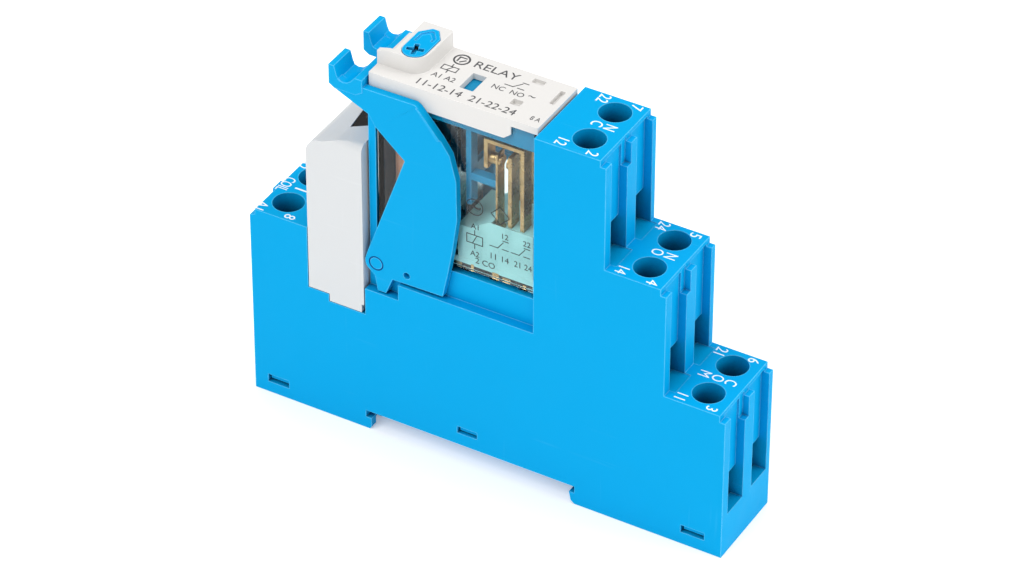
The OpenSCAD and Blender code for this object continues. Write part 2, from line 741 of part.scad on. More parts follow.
// A moving contact leaf, with a contact tip on each face
module com_leaf(row) color(BRONZE) {
    y = ROW_Y[row];
    block([leaf_x - leaf_t / 2, y - 1, leaf_z0], [leaf_x + leaf_t / 2, y + 1, leaf_z1]);
    translate([leaf_x - 0.5, y, tip_z]) rotate([0, 90, 0]) cylinder(r = tip_r, h = 1);
    ycyl(leaf_x, leaf_z0, 0.45, y - 1, y + 1);
}

// A fixed contact: its blade, the strip inside the relay, and its tip
module contact_strip(i, row) {
    y = ROW_Y[row];
    blade_x = [PIN_NC_X, PIN_NO_X, PIN_COM_X][i];
    block([blade_x - blade_t / 2, y - blade_w / 2, blade_tip_z], [blade_x + blade_t / 2, y + blade_w / 2, 35.6]);
    strip([[[blade_x, 35.4], [blade_x, 57.4], [38.3, 57.4], [38.3, 53]],
           [[blade_x, 35.4], [blade_x, 37.2], [42.2, 37.2], [42.2, 55.4]],
           [[blade_x, 35.4], [blade_x, 39.4], [leaf_x, 39.4], [leaf_x, leaf_z0 - 0.9]]][i],
          y, blade_w, strip_t);
}

module relay_contact(i, row) color(BRONZE) {
    contact_strip(i, row);
    y = ROW_Y[row];
    if (i == 0) {
        translate([38.3, y, tip_z]) rotate([0, 90, 0]) cylinder(r = tip_r, h = 1.15);
    }
    if (i == 1) {
        translate([41.45, y, tip_z]) rotate([0, 90, 0]) cylinder(r = tip_r, h = 0.7);
    }
}

// ---- one line per node ----

placed() socket_housing();
placed() base_cover();
placed() rail_latch();
placed() release_lever();
for (r = ROWS) {
    for (s = STEPS) {
        tag = str(s[0], "_", r[0]);
        placed() contact_bar(s[1], r[1]);
        placed() color(STEEL) at_contact(s[1], r[1]) terminal_screw();
        placed() color(STEEL) at_contact(s[1], r[1]) clamp_cage();
        placed() relay_contact(s[1], r[1]);
    }
    placed() contact_bar_coil(r[1]);
    placed() color(STEEL) at_coil(r[1]) terminal_screw();
    placed() color(STEEL) at_coil(r[1]) clamp_cage();
    placed() com_leaf(r[1]);
}
placed() module_shell();
placed() module_lens();
placed() module_board();
placed() module_lamp();
placed() module_diode();
placed() module_blades();
placed() relay_base();
placed() relay_case();
placed() relay_cap();
placed() test_button();
placed() coil_bobbin();
placed() coil_winding();
placed() coil_core();
placed() coil_yoke();
placed() armature();
placed() actuator_card();
placed() coil_pins();
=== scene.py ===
"""Looks of a slim plug-in relay on its rail socket: finishes, winding, leads, printed marks and studio.

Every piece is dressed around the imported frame, in metres, with +X towards the stepped contact terminals,
+Y towards the back and +Z up from the feet.
"""

import sys
import logging
import math
from dataclasses import dataclass, field
from enum import Enum
from typing import Iterable, Sequence

import bmesh
import bpy
from mathutils import Matrix, Vector


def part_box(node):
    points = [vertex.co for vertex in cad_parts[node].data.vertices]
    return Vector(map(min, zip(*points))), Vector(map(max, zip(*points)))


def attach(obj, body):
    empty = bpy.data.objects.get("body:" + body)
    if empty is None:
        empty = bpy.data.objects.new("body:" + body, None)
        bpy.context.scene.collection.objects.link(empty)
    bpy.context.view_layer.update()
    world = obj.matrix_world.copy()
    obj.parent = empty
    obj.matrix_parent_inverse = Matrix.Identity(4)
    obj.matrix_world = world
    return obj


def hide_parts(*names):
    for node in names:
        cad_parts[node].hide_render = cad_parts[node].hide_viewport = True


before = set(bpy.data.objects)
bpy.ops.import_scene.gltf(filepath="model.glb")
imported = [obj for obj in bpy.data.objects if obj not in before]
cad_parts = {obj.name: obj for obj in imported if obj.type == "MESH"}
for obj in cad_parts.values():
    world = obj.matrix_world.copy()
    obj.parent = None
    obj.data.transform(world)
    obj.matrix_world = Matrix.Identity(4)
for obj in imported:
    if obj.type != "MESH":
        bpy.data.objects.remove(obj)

MM = 0.001
NODES: dict[str, bpy.types.Object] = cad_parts
log = logging.getLogger("relay")

Colour = tuple[float, float, float]
Flat = tuple[float, float]


class Row(Enum):
    """The two rows of terminals along the socket."""

    FRONT = "front"
    BACK = "back"


class Tier(Enum):
    """The four heights at which the socket carries terminals."""

    NC = "nc"
    NO = "no"
    COM = "com"
    COIL = "coil"


def srgb(red: int, green: int, blue: int) -> Colour:
    """Turns a display colour into the linear one that shaders take.

    Args:
        red: Red share, 0 to 255.
        green: Green share, 0 to 255.
        blue: Blue share, 0 to 255.

    Returns:
        The linear colour.
    """

    def linear(value: int) -> float:
        """One channel of the colour, made linear."""
        share = value / 255
        return share / 12.92 if share <= 0.04045 else ((share + 0.055) / 1.055) ** 2.4

    return (linear(red), linear(green), linear(blue))


# ---- shader effects that several finishes share ----


class Wiring:
    """A node tree with short calls for adding and joining nodes."""

    def __init__(self, tree: bpy.types.NodeTree) -> None:
        """Keeps the tree that the nodes go into."""
        self.tree = tree

    def node(self, kind: str, **settings: object) -> bpy.types.Node:
        """Adds a node and sets its properties.

        Args:
            kind: The node's type name.
            **settings: Properties to set on it.

        Returns:
            The new node.
        """
        made = self.tree.nodes.new(kind)
        for name, value in settings.items():
            setattr(made, name, value)
        return made

    def join(self, source: bpy.types.NodeSocket, target: bpy.types.NodeSocket) -> None:
        """Draws a wire from an output to an input."""
        self.tree.links.new(source, target)

    def fill(self, target: bpy.types.NodeSocket, value: object) -> None:
        """Feeds a socket with another socket's output, or with a plain value.

        Args:
            target: The input to feed.
            value: An output socket, a number or a colour.
        """
        if isinstance(value, bpy.types.NodeSocket):
            self.join(value, target)
        elif isinstance(value, tuple) and len(value) == 3 and target.type == "RGBA":
            target.default_value = (*value, 1.0)
        else:
            target.default_value = value

    def sums(self, operation: str, first: object, second: object = 0.0) -> bpy.types.NodeSocket:
        """Adds one step of arithmetic.

        Args:
            operation: What the step does, such as MULTIPLY.
            first: The first number or output.
            second: The second number or output.

        Returns:
            The result's socket.
        """
        step = self.node("ShaderNodeMath", operation=operation)
        self.fill(step.inputs[0], first)
        self.fill(step.inputs[1], second)
        return step.outputs[0]

    def blend(self, share: object, low: object, high: object) -> bpy.types.NodeSocket:
        """Mixes two colours.

        Args:
            share: How much of the second colour shows.
            low: The first colour.
            high: The second colour.

        Returns:
            The mixed colour's socket.
        """
        mix = self.node("ShaderNodeMix", data_type="RGBA", blend_type="MIX")
        self.fill(mix.inputs[0], share)
        self.fill(mix.inputs[6], low)
        self.fill(mix.inputs[7], high)
        return mix.outputs[2]

    def spread(
        self, value: object, low: float, high: float, start: float, end: float
    ) -> bpy.types.NodeSocket:
        """Stretches a range of values over another.

        Args:
            value: The value to stretch.
            low: The value that becomes start.
            high: The value that becomes end.
            start: The result at low.
            end: The result at high.

        Returns:
            The result's socket.
        """
        ramp = self.node("ShaderNodeMapRange")
        for slot, part in enumerate((value, low, high, start, end)):
            self.fill(ramp.inputs[slot], part)
        return ramp.outputs[0]

    def noise(
        self, vector: bpy.types.NodeSocket, scale: object, detail: float = 2.0
    ) -> bpy.types.NodeSocket:
        """Adds cloud noise over the surface.

        Args:
            vector: Where on the surface the noise is read.
            scale: How fine it is.
            detail: How many finer layers it has.

        Returns:
            The noise's value, 0 to 1.
        """
        cloud = self.node("ShaderNodeTexNoise")
        self.join(vector, cloud.inputs["Vector"])
        self.fill(cloud.inputs["Scale"], scale)
        cloud.inputs["Detail"].default_value = detail
        return cloud.outputs[0]

    def place(self, stretch: Colour = (1.0, 1.0, 1.0)) -> bpy.types.NodeSocket:
        """Gives the point on the piece, in metres times a stretch along each axis.

        Args:
            stretch: Factors along X, Y and Z.

        Returns:
            The point's socket.
        """
        point = self.node("ShaderNodeTexCoord").outputs["Object"]
        if stretch == (1.0, 1.0, 1.0):
            return point
        scaled = self.node("ShaderNodeMapping")
        self.join(point, scaled.inputs["Vector"])
        scaled.inputs["Scale"].default_value = stretch
        return scaled.outputs["Vector"]


class Effect:
    """A shader node group that several finishes place with their own values."""

    name: str = ""
    takes: dict[str, tuple[str, object]] = {}
    gives: dict[str, str] = {}

    def __init__(self) -> None:
        """Builds the group with its named sockets."""
        self.tree = bpy.data.node_groups.new(self.name, "ShaderNodeTree")
        for label, (kind, value) in self.takes.items():
            socket = self.tree.interface.new_socket(name=label, in_out="INPUT", socket_type=kind)
            socket.default_value = value
        for label, kind in self.gives.items():
            self.tree.interface.new_socket(name=label, in_out="OUTPUT", socket_type=kind)
        wiring = Wiring(self.tree)
        entry = wiring.node("NodeGroupInput")
        leave = wiring.node("NodeGroupOutput")
        for label, value in self.wire(wiring, entry.outputs).items():
            wiring.join(value, leave.inputs[label])

    def wire(self, wiring: Wiring, entry: bpy.types.NodeOutputs) -> dict[str, bpy.types.NodeSocket]:
        """Wires the inside of the group.

        Args:
            wiring: The group's tree.
            entry: The sockets that bring the group's inputs.

        Returns:
            The socket that feeds each named output.
        """
        raise NotImplementedError

    def use(self, wiring: Wiring, **values: object) -> bpy.types.NodeOutputs:
        """Places the group in a material.

        Args:
            wiring: The material's tree.
            **values: Values or sockets for the group's inputs.

        Returns:
            The placed group's outputs.
        """
        placed = wiring.node("ShaderNodeGroup")
        placed.node_tree = self.tree
        for label, value in values.items():
            wiring.fill(placed.inputs[label], value)
        return placed.outputs


FLOAT = "NodeSocketFloat"
COLOUR = "NodeSocketColor"


class MouldGrain(Effect):
    """Fine spark-eroded grain of a mould, as a height and as a speckle mask."""

    name = "mould_grain"
    takes = {"Fineness": (FLOAT, 6000.0), "Softness": (FLOAT, 0.5)}
    gives = {"Height": FLOAT}

    def wire(self, wiring: Wiring, entry: bpy.types.NodeOutputs) -> dict[str, bpy.types.NodeSocket]:
        """Mixes a fine noise with a coarser one.

        Args:
            wiring: The group's tree.
            entry: The group's inputs.

        Returns:
            The socket for Height.
        """
        point = wiring.place()
        fine = wiring.noise(point, entry["Fineness"], 3.0)
        coarse = wiring.noise(point, wiring.sums("MULTIPLY", entry["Fineness"], 0.22), 2.0)
        apart = wiring.sums("SUBTRACT", coarse, fine)
        height = wiring.sums("ADD", fine, wiring.sums("MULTIPLY", apart, entry["Softness"]))
        return {"Height": height}


class ToneDrift(Effect):
    """Slow change of tone over a moulding, where the melt flowed unevenly."""

    name = "tone_drift"
    takes = {"Colour": (COLOUR, (1.0, 1.0, 1.0, 1.0)), "Drift": (FLOAT, 0.05), "Coarseness": (FLOAT, 60.0)}
    gives = {"Colour": COLOUR}

    def wire(self, wiring: Wiring, entry: bpy.types.NodeOutputs) -> dict[str, bpy.types.NodeSocket]:
        """Brightens and darkens the colour by a slow noise.

        Args:
            wiring: The group's tree.
            entry: The group's inputs.

        Returns:
            The socket for Colour.
        """
        cloud = wiring.noise(wiring.place(), entry["Coarseness"], 3.0)
        swing = wiring.sums("MULTIPLY", wiring.sums("SUBTRACT", cloud, 0.5), entry["Drift"])
        shade = wiring.node("ShaderNodeHueSaturation")
        wiring.join(entry["Colour"], shade.inputs["Color"])
        wiring.join(wiring.sums("ADD", wiring.sums("MULTIPLY", swing, 2.0), 1.0), shade.inputs["Value"])
        return {"Colour": shade.outputs[0]}


class PaintedEdgeSheen(Effect):
    """Painted highlight: lighter tone along the edges of a piece."""

    name = "painted_edge_sheen"
    takes = {
        "Colour": (COLOUR, (1.0, 1.0, 1.0, 1.0)),
        "Worn": (COLOUR, (1.0, 1.0, 1.0, 1.0)),
        "Amount": (FLOAT, 0.5),
    }
    gives = {"Colour": COLOUR}
    sheen_width = 0.22 * MM

    def wire(self, wiring: Wiring, entry: bpy.types.NodeOutputs) -> dict[str, bpy.types.NodeSocket]:
        """Compares the surface with a rounded copy of it, and lightens where they differ, as a painted
        highlight.

        Args:
            wiring: The group's tree.
            entry: The group's inputs.

        Returns:
            The socket for Colour.
        """
        rounded = wiring.node("ShaderNodeBevel", samples=4)
        rounded.inputs["Radius"].default_value = self.sheen_width
        straight = wiring.node("ShaderNodeNewGeometry").outputs["Normal"]
        likeness = wiring.node("ShaderNodeVectorMath", operation="DOT_PRODUCT")
        wiring.join(rounded.outputs[0], likeness.inputs[0])
        wiring.join(straight, likeness.inputs[1])
        patchy = wiring.spread(wiring.noise(wiring.place(), 900.0, 3.0), 0.35, 0.65, 0.6, 1.0)
        edge = wiring.spread(likeness.outputs["Value"], 0.995, 0.90, 0.0, 1.0)
        mask = wiring.sums("MULTIPLY", wiring.sums("MULTIPLY", edge, patchy), entry["Amount"])
        return {"Colour": wiring.blend(mask, entry["Colour"], entry["Worn"])}


class DeepShade(Effect):
    """Painted shade: darker tone deep inside holes and slots, where light is lost."""

    name = "deep_shade"
    takes = {
        "Colour": (COLOUR, (1.0, 1.0, 1.0, 1.0)),
        "Deep": (COLOUR, (0.0, 0.0, 0.0, 1.0)),
        "Amount": (FLOAT, 1.0),
    }
    gives = {"Colour": COLOUR}
    depth_felt = 7.0 * MM

    def wire(self, wiring: Wiring, entry: bpy.types.NodeOutputs) -> dict[str, bpy.types.NodeSocket]:
        """Measures how enclosed the surface is and darkens it there, as painted shade.

        Args:
            wiring: The group's tree.
            entry: The group's inputs.

        Returns:
            The socket for Colour.
        """
        enclosed = wiring.node("ShaderNodeAmbientOcclusion", samples=6)
        enclosed.inputs["Distance"].default_value = self.depth_felt
        open_share = enclosed.outputs["AO"]
        mask = wiring.sums("MULTIPLY", wiring.spread(open_share, 0.34, 0.06, 0.0, 1.0), entry["Amount"])
        return {"Colour": wiring.blend(mask, entry["Colour"], entry["Deep"])}


class Scuffs(Effect):
    """Thin rub marks and small dull patches from handling."""

    name = "scuffs"
    takes = {"Density": (FLOAT, 0.5), "Length": (FLOAT, 1.0)}
    gives = {"Mask": FLOAT}

    def wire(self, wiring: Wiring, entry: bpy.types.NodeOutputs) -> dict[str, bpy.types.NodeSocket]:
        """Crosses two drawn-out noises and keeps their crests.

        Args:
            wiring: The group's tree.
            entry: The group's inputs.

        Returns:
            The socket for Mask.
        """
        one = wiring.noise(wiring.place((35.0, 1100.0, 1100.0)), entry["Length"], 2.0)
        two = wiring.noise(wiring.place((900.0, 900.0, 45.0)), entry["Length"], 2.0)
        where = wiring.spread(wiring.noise(wiring.place(), 85.0, 2.0), 0.5, 0.66, 0.0, 1.0)
        along = wiring.spread(one, 0.66, 0.74, 0.0, 1.0)
        across = wiring.spread(two, 0.68, 0.76, 0.0, 1.0)
        crest = wiring.sums("MAXIMUM", along, across)
        return {"Mask": wiring.sums("MULTIPLY", wiring.sums("MULTIPLY", crest, where), entry["Density"])}


class Smears(Effect):
    """Soft cloudy variation of gloss, as left by fingers and by flow."""

    name = "smears"
    takes = {"Low": (FLOAT, 0.3), "High": (FLOAT, 0.5), "Coarseness": (FLOAT, 220.0)}
    gives = {"Roughness": FLOAT}

    def wire(self, wiring: Wiring, entry: bpy.types.NodeOutputs) -> dict[str, bpy.types.NodeSocket]:
        """Spreads a cloud between the two roughness limits.

        Args:
            wiring: The group's tree.
            entry: The group's inputs.

        Returns:
            The socket for Roughness.
        """
        cloud = wiring.noise(wiring.place(), entry["Coarseness"], 4.0)
        ramp = wiring.node("ShaderNodeMapRange")
        for slot, part in enumerate((cloud, 0.3, 0.7, entry["Low"], entry["High"])):
            wiring.fill(ramp.inputs[slot], part)
        return {"Roughness": ramp.outputs[0]}


@dataclass(frozen=True)
class Effects:
    """One of each shared effect."""

    grain: MouldGrain = field(default_factory=MouldGrain)
    drift: ToneDrift = field(default_factory=ToneDrift)
    edge_sheen: PaintedEdgeSheen = field(default_factory=PaintedEdgeSheen)
    shade: DeepShade = field(default_factory=DeepShade)
    scuffs: Scuffs = field(default_factory=Scuffs)
    smears: Smears = field(default_factory=Smears)


# ---- finishes ----


@dataclass(frozen=True)
class Finish:
    """What every finish shares: its name and how a material is started."""

    name: str

    def start(self) -> tuple[bpy.types.Material, Wiring, bpy.types.Node]:
        """Starts an empty material.

        Returns:
            The material, its wiring and its main shader.
        """
        made = bpy.data.materials.new(self.name)
        made.use_nodes = True
        wiring = Wiring(made.node_tree)
        return made, wiring, made.node_tree.nodes["Principled BSDF"]

    def bump(
        self, wiring: Wiring, shader: bpy.types.Node, height: bpy.types.NodeSocket, depth: float
    ) -> None:
        """Presses a height into the shader's normal.

        Args:
            wiring: The material's wiring.
            shader: The main shader.
            height: The height's socket, 0 to 1.
            depth: What a height of 1 stands for, in metres.
        """
        relief = wiring.node("ShaderNodeBump")
        relief.inputs["Strength"].default_value = 1.0
        relief.inputs["Distance"].default_value = depth
        wiring.join(height, relief.inputs["Height"])
        wiring.join(relief.outputs[0], shader.inputs["Normal"])

    def material(self, effects: Effects) -> bpy.types.Material:
        """Builds the material of this finish."""
        raise NotImplementedError


@dataclass(frozen=True)
class MouldedPlastic(Finish):
    """Opaque moulded plastic with grain, tone drift, painted edge highlights, scuffs and, where asked,
    painted shade deep in holes.
    """

    colour: Colour = (0.5, 0.5, 0.5)
    sheen_and_scuff: Colour = (0.8, 0.8, 0.8)
    edge_sheen: float = 0.5
    gloss: tuple[float, float] = (0.35, 0.5)
    fineness: float = 5200.0
    depth: float = 0.006 * MM
    drift: float = 0.05
    scuff: float = 0.3
    shine: float = 0.3
    deep: Colour = (0.02, 0.02, 0.02)
    shade: float = 0.0

    def material(self, effects: Effects) -> bpy.types.Material:
        """Builds the plastic.

        Args:
            effects: The shared shader groups.

        Returns:
            The material.
        """
        made, wiring, shader = self.start()
        grain = effects.grain.use(wiring, Fineness=self.fineness, Softness=0.55)
        tone = effects.drift.use(wiring, Colour=self.colour, Drift=self.drift, Coarseness=70.0)
        # Painted highlight along edges; the scuffs below are blended towards the same light colour.
        edge = effects.edge_sheen.use(wiring, Colour=tone["Colour"], Worn=self.sheen_and_scuff, Amount=self.edge_sheen)
        marks = effects.scuffs.use(wiring, Density=self.scuff, Length=1.0)
        smear = effects.smears.use(wiring, Low=self.gloss[0], High=self.gloss[1], Coarseness=240.0)
        marked = wiring.blend(wiring.sums("MULTIPLY", marks["Mask"], 0.45), edge["Colour"], self.sheen_and_scuff)
        # Painted shade: darkens the colour deep in holes and slots.
        if self.shade > 0:
            marked = effects.shade.use(wiring, Colour=marked, Deep=self.deep, Amount=self.shade)["Colour"]
        wiring.join(marked, shader.inputs["Base Color"])
        rough = wiring.sums("ADD", smear["Roughness"], wiring.sums("MULTIPLY", marks["Mask"], 0.2))
        wiring.join(rough, shader.inputs["Roughness"])
        shader.inputs["Specular IOR Level"].default_value = self.shine
        self.bump(wiring, shader, grain["Height"], self.depth)
        return made


@dataclass(frozen=True)
class ClearPlastic(Finish):
    """See-through moulded plastic that lets lamps light what is behind it."""

    tint: Colour = (0.9, 0.97, 0.96)
    roughness: float = 0.04
    index: float = 1.3
    depth: float = 0.004 * MM

    def material(self, effects: Effects) -> bpy.types.Material:
        """Builds the clear plastic.

        Args:
            effects: The shared shader groups.

        Returns:
            The material.
        """
        made, wiring, shader = self.start()
        shader.inputs["Base Color"].default_value = (*self.tint, 1.0)
        shader.inputs["Transmission Weight"].default_value = 1.0
        shader.inputs["IOR"].default_value = self.index
        smooth, dull = self.roughness * 0.5, self.roughness * 2.0
        smear = effects.smears.use(wiring, Low=smooth, High=dull, Coarseness=260.0)
        wiring.join(smear["Roughness"], shader.inputs["Roughness"])
        grain = effects.grain.use(wiring, Fineness=700.0, Softness=0.9)
        self.bump(wiring, shader, grain["Height"], self.depth)
        through = wiring.node("ShaderNodeBsdfTransparent")
        through.inputs["Color"].default_value = (*self.tint, 1.0)
        path = wiring.node("ShaderNodeLightPath")
        mixed = wiring.node("ShaderNodeMixShader")
        wiring.join(path.outputs["Is Shadow Ray"], mixed.inputs[0])
        wiring.join(shader.outputs[0], mixed.inputs[1])
        wiring.join(through.outputs[0], mixed.inputs[2])
        wiring.join(mixed.outputs[0], made.node_tree.nodes["Material Output"].inputs["Surface"])
        return made


@dataclass(frozen=True)
class BareMetal(Finish):
    """Rolled or turned metal with fine drawing lines, tarnish, painted edge highlights and, where asked,
    painted shade deep in holes.
    """

    colour: Colour = (0.6, 0.6, 0.6)
    tarnish: Colour = (0.4, 0.35, 0.3)
    gloss: tuple[float, float] = (0.2, 0.38)
    depth: float = 0.003 * MM
    metallic: float = 1.0
    shade: float = 0.0

    def material(self, effects: Effects) -> bpy.types.Material:
        """Builds the metal.

        Args:
            effects: The shared shader groups.

        Returns:
            The material.
        """
        made, wiring, shader = self.start()
        shader.inputs["Metallic"].default_value = self.metallic
        stains = wiring.spread(wiring.noise(wiring.place(), 420.0, 4.0), 0.45, 0.7, 0.0, 0.7)
        toned = wiring.blend(stains, self.colour, self.tarnish)
        # Painted highlight: edges lighten back to the clean metal colour.
        edge = effects.edge_sheen.use(wiring, Colour=toned, Worn=self.colour, Amount=0.8)
        seen = edge["Colour"]
        # Painted shade: darkens the metal deep inside holes and cages.
        if self.shade > 0:
            seen = effects.shade.use(wiring, Colour=seen, Deep=srgb(6, 10, 20), Amount=self.shade)["Colour"]
        wiring.join(seen, shader.inputs["Base Color"])
        smear = effects.smears.use(wiring, Low=self.gloss[0], High=self.gloss[1], Coarseness=500.0)
        wiring.join(smear["Roughness"], shader.inputs["Roughness"])
        lines = wiring.noise(wiring.place((1.0, 1.0, 0.06)), 9000.0, 2.0)
        self.bump(wiring, shader, lines, self.depth)
        return made


@dataclass(frozen=True)
class PrintedInk(Finish):
    """Matt printing ink, slightly uneven in density."""

    colour: Colour = (0.8, 0.8, 0.8)
    thin: Colour = (0.7, 0.7, 0.7)

    def material(self, effects: Effects) -> bpy.types.Material:
        """Builds the ink.

        Args:
            effects: The shared shader groups.

        Returns:
            The material.
        """
        made, wiring, shader = self.start()
        density = wiring.spread(wiring.noise(wiring.place(), 2600.0, 3.0), 0.4, 0.7, 0.0, 0.6)
        wiring.join(wiring.blend(density, self.colour, self.thin), shader.inputs["Base Color"])
        smear = effects.smears.use(wiring, Low=0.5, High=0.7, Coarseness=900.0)
        wiring.join(smear["Roughness"], shader.inputs["Roughness"])
        grain = effects.grain.use(wiring, Fineness=7000.0, Softness=0.4)
        self.bump(wiring, shader, grain["Height"], 0.003 * MM)
        shader.inputs["Specular IOR Level"].default_value = 0.2
        return made


class Paint:
    """All finishes of the relay and socket, built once and laid on pieces."""

    PLASTICS = (
        # The second colour of each plastic is its painted edge highlight and scuff colour; deep and shade
        # set its painted shade in holes and slots.
        MouldedPlastic("socket_blue", srgb(0, 162, 221), srgb(120, 216, 252), 0.75, (0.42, 0.52),
                       drift=0.02, shine=0.04, scuff=0.15, deep=srgb(0, 24, 60), shade=1.0),
        MouldedPlastic("cover_blue", srgb(0, 160, 220), srgb(90, 200, 248), 0.4, (0.42, 0.52),
                       drift=0.02, shine=0.04, scuff=0.15, deep=srgb(0, 40, 92), shade=0.6),
        MouldedPlastic("lever_blue", srgb(0, 162, 220), srgb(120, 216, 252), 0.7, (0.36, 0.48),
                       drift=0.02, shine=0.05, scuff=0.12),
        MouldedPlastic("cap_white", srgb(220, 218, 215), srgb(240, 239, 237), 0.4, (0.4, 0.55), drift=0.01),
        MouldedPlastic("module_grey", srgb(210, 212, 213), srgb(236, 237, 238), 0.3, (0.4, 0.55),
                       drift=0.01),
        MouldedPlastic("base_mint", srgb(176, 222, 222), srgb(220, 244, 242), 0.4, (0.35, 0.5), drift=0.04),
        MouldedPlastic("bobbin_black", srgb(22, 22, 24), srgb(70, 70, 72), 0.4, (0.3, 0.45), drift=0.1),
        MouldedPlastic("card_teal", srgb(0, 140, 186), srgb(60, 190, 225), 0.5, (0.35, 0.5)),
        # Dark blue for the rings of painted shade in the lever's pivot gaps.
        MouldedPlastic("gap_shade_blue", srgb(0, 60, 128), srgb(0, 80, 150), 0.2, (0.5, 0.6), shine=0.05),
        MouldedPlastic("board_green", srgb(24, 92, 52), srgb(120, 160, 110), 0.4, (0.25, 0.4), drift=0.15),
        MouldedPlastic("diode_black", srgb(26, 26, 28), srgb(80, 80, 82), 0.4, (0.3, 0.45)),
    )
    CLEARS = (
        ClearPlastic("case_clear", (0.84, 0.93, 0.93)),
        ClearPlastic("lens_smoke", (0.10, 0.06, 0.05), 0.1, 1.45),
        ClearPlastic("lamp_green", (0.25, 0.8, 0.35), 0.1, 1.45),
    )
    METALS = (
        BareMetal("winding_copper", srgb(206, 140, 112), srgb(132, 92, 80), (0.3, 0.45), 0.004 * MM, 0.45),
        BareMetal("contact_bronze", srgb(198, 158, 112), srgb(120, 88, 58)),
        BareMetal("pole_steel", srgb(176, 178, 180), srgb(112, 110, 106)),
        # Painted shade darkens the screw steel deep inside the clamp cages.
        BareMetal("screw_steel", srgb(200, 200, 198), srgb(130, 126, 118), (0.25, 0.42), shade=0.95),
    )
    INKS = (
        PrintedInk("stencil_white", srgb(245, 250, 255), srgb(215, 236, 250)),
        PrintedInk("stencil_grey", srgb(72, 72, 74), srgb(112, 112, 114)),
        PrintedInk("stencil_dark", srgb(48, 50, 50), srgb(88, 92, 92)),
    )

    def __init__(self) -> None:
        """Builds every material."""
        effects = Effects()
        finishes = (*self.PLASTICS, *self.CLEARS, *self.METALS, *self.INKS)
        self.materials = {finish.name: finish.material(effects) for finish in finishes}

    def lay(self, piece: bpy.types.Object, name: str) -> None:
        """Gives a piece one finish all over.

        Args:
            piece: The piece.
            name: The finish's name.
        """
        piece.data.materials.clear()
        piece.data.materials.append(self.materials[name])


# ---- making and finishing pieces ----


@dataclass(frozen=True)
class Edges:
    """How the edges of a moulded or pressed piece are rounded."""

    radius: float = 0.12 * MM
    segments: int = 2
    from_angle: float = math.radians(40)

    def round(self, piece: bpy.types.Object) -> None:
        """Rounds the piece's sharp edges and smooths the rest.

        Args:
            piece: A piece made of flat and curved faces.
        """
        old_normals = piece.data.attributes.get("custom_normal")
        if old_normals is not None:
            piece.data.attributes.remove(old_normals)
        piece.data.shade_smooth()
        weld = piece.modifiers.new("weld", "WELD")
        weld.merge_threshold = 0.002 * MM
        bevel = piece.modifiers.new("rounding", "BEVEL")
        bevel.width = self.radius
        bevel.segments = self.segments
        bevel.limit_method = "ANGLE"
        bevel.angle_limit = self.from_angle
        bevel.harden_normals = True
        bevel.use_clamp_overlap = True
        bevel.miter_outer = "MITER_ARC"


def solid(name: str, shape: bmesh.types.BMesh, body: str) -> bpy.types.Object:
    """Turns a finished shape into a piece that rides on a body.

    Args:
        name: The piece's name.
        shape: Its shape, in metres; it is freed.
        body: The body that it moves with.

    Returns:
        The new piece.
    """
    bmesh.ops.recalc_face_normals(shape, faces=shape.faces)
    mesh = bpy.data.meshes.new(name)
    shape.to_mesh(mesh)
    shape.free()
    piece = bpy.data.objects.new(name, mesh)
    bpy.context.scene.collection.objects.link(piece)
    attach(piece, body)
    return piece


def tube(shape: bmesh.types.BMesh, route: Sequence[Vector], radius: float, sides: int = 10) -> None:
    """Adds a round wire along a route.

    Args:
        shape: The shape to add to.
        route: Points of the wire's middle.
        radius: Its radius.
        sides: How many sides its section has.
    """
    rings: list[list[bmesh.types.BMVert]] = []
    for at, point in enumerate(route):
        ahead = (route[min(at + 1, len(route) - 1)] - route[max(at - 1, 0)]).normalized()
        side = side - ahead * side.dot(ahead) if rings else ahead.orthogonal()
        side.normalize()
        over = ahead.cross(side)
        ring = []
        for step in range(sides):
            turn = math.tau * step / sides
            outwards = side * (radius * math.cos(turn)) + over * (radius * math.sin(turn))
            ring.append(shape.verts.new(point + outwards))
        rings.append(ring)
    for low, high in zip(rings, rings[1:]):
        for step in range(sides):
            after = (step + 1) % sides
            shape.faces.new((low[step], low[after], high[after], high[step]))
    shape.faces.new(rings[0])
    shape.faces.new(rings[-1])


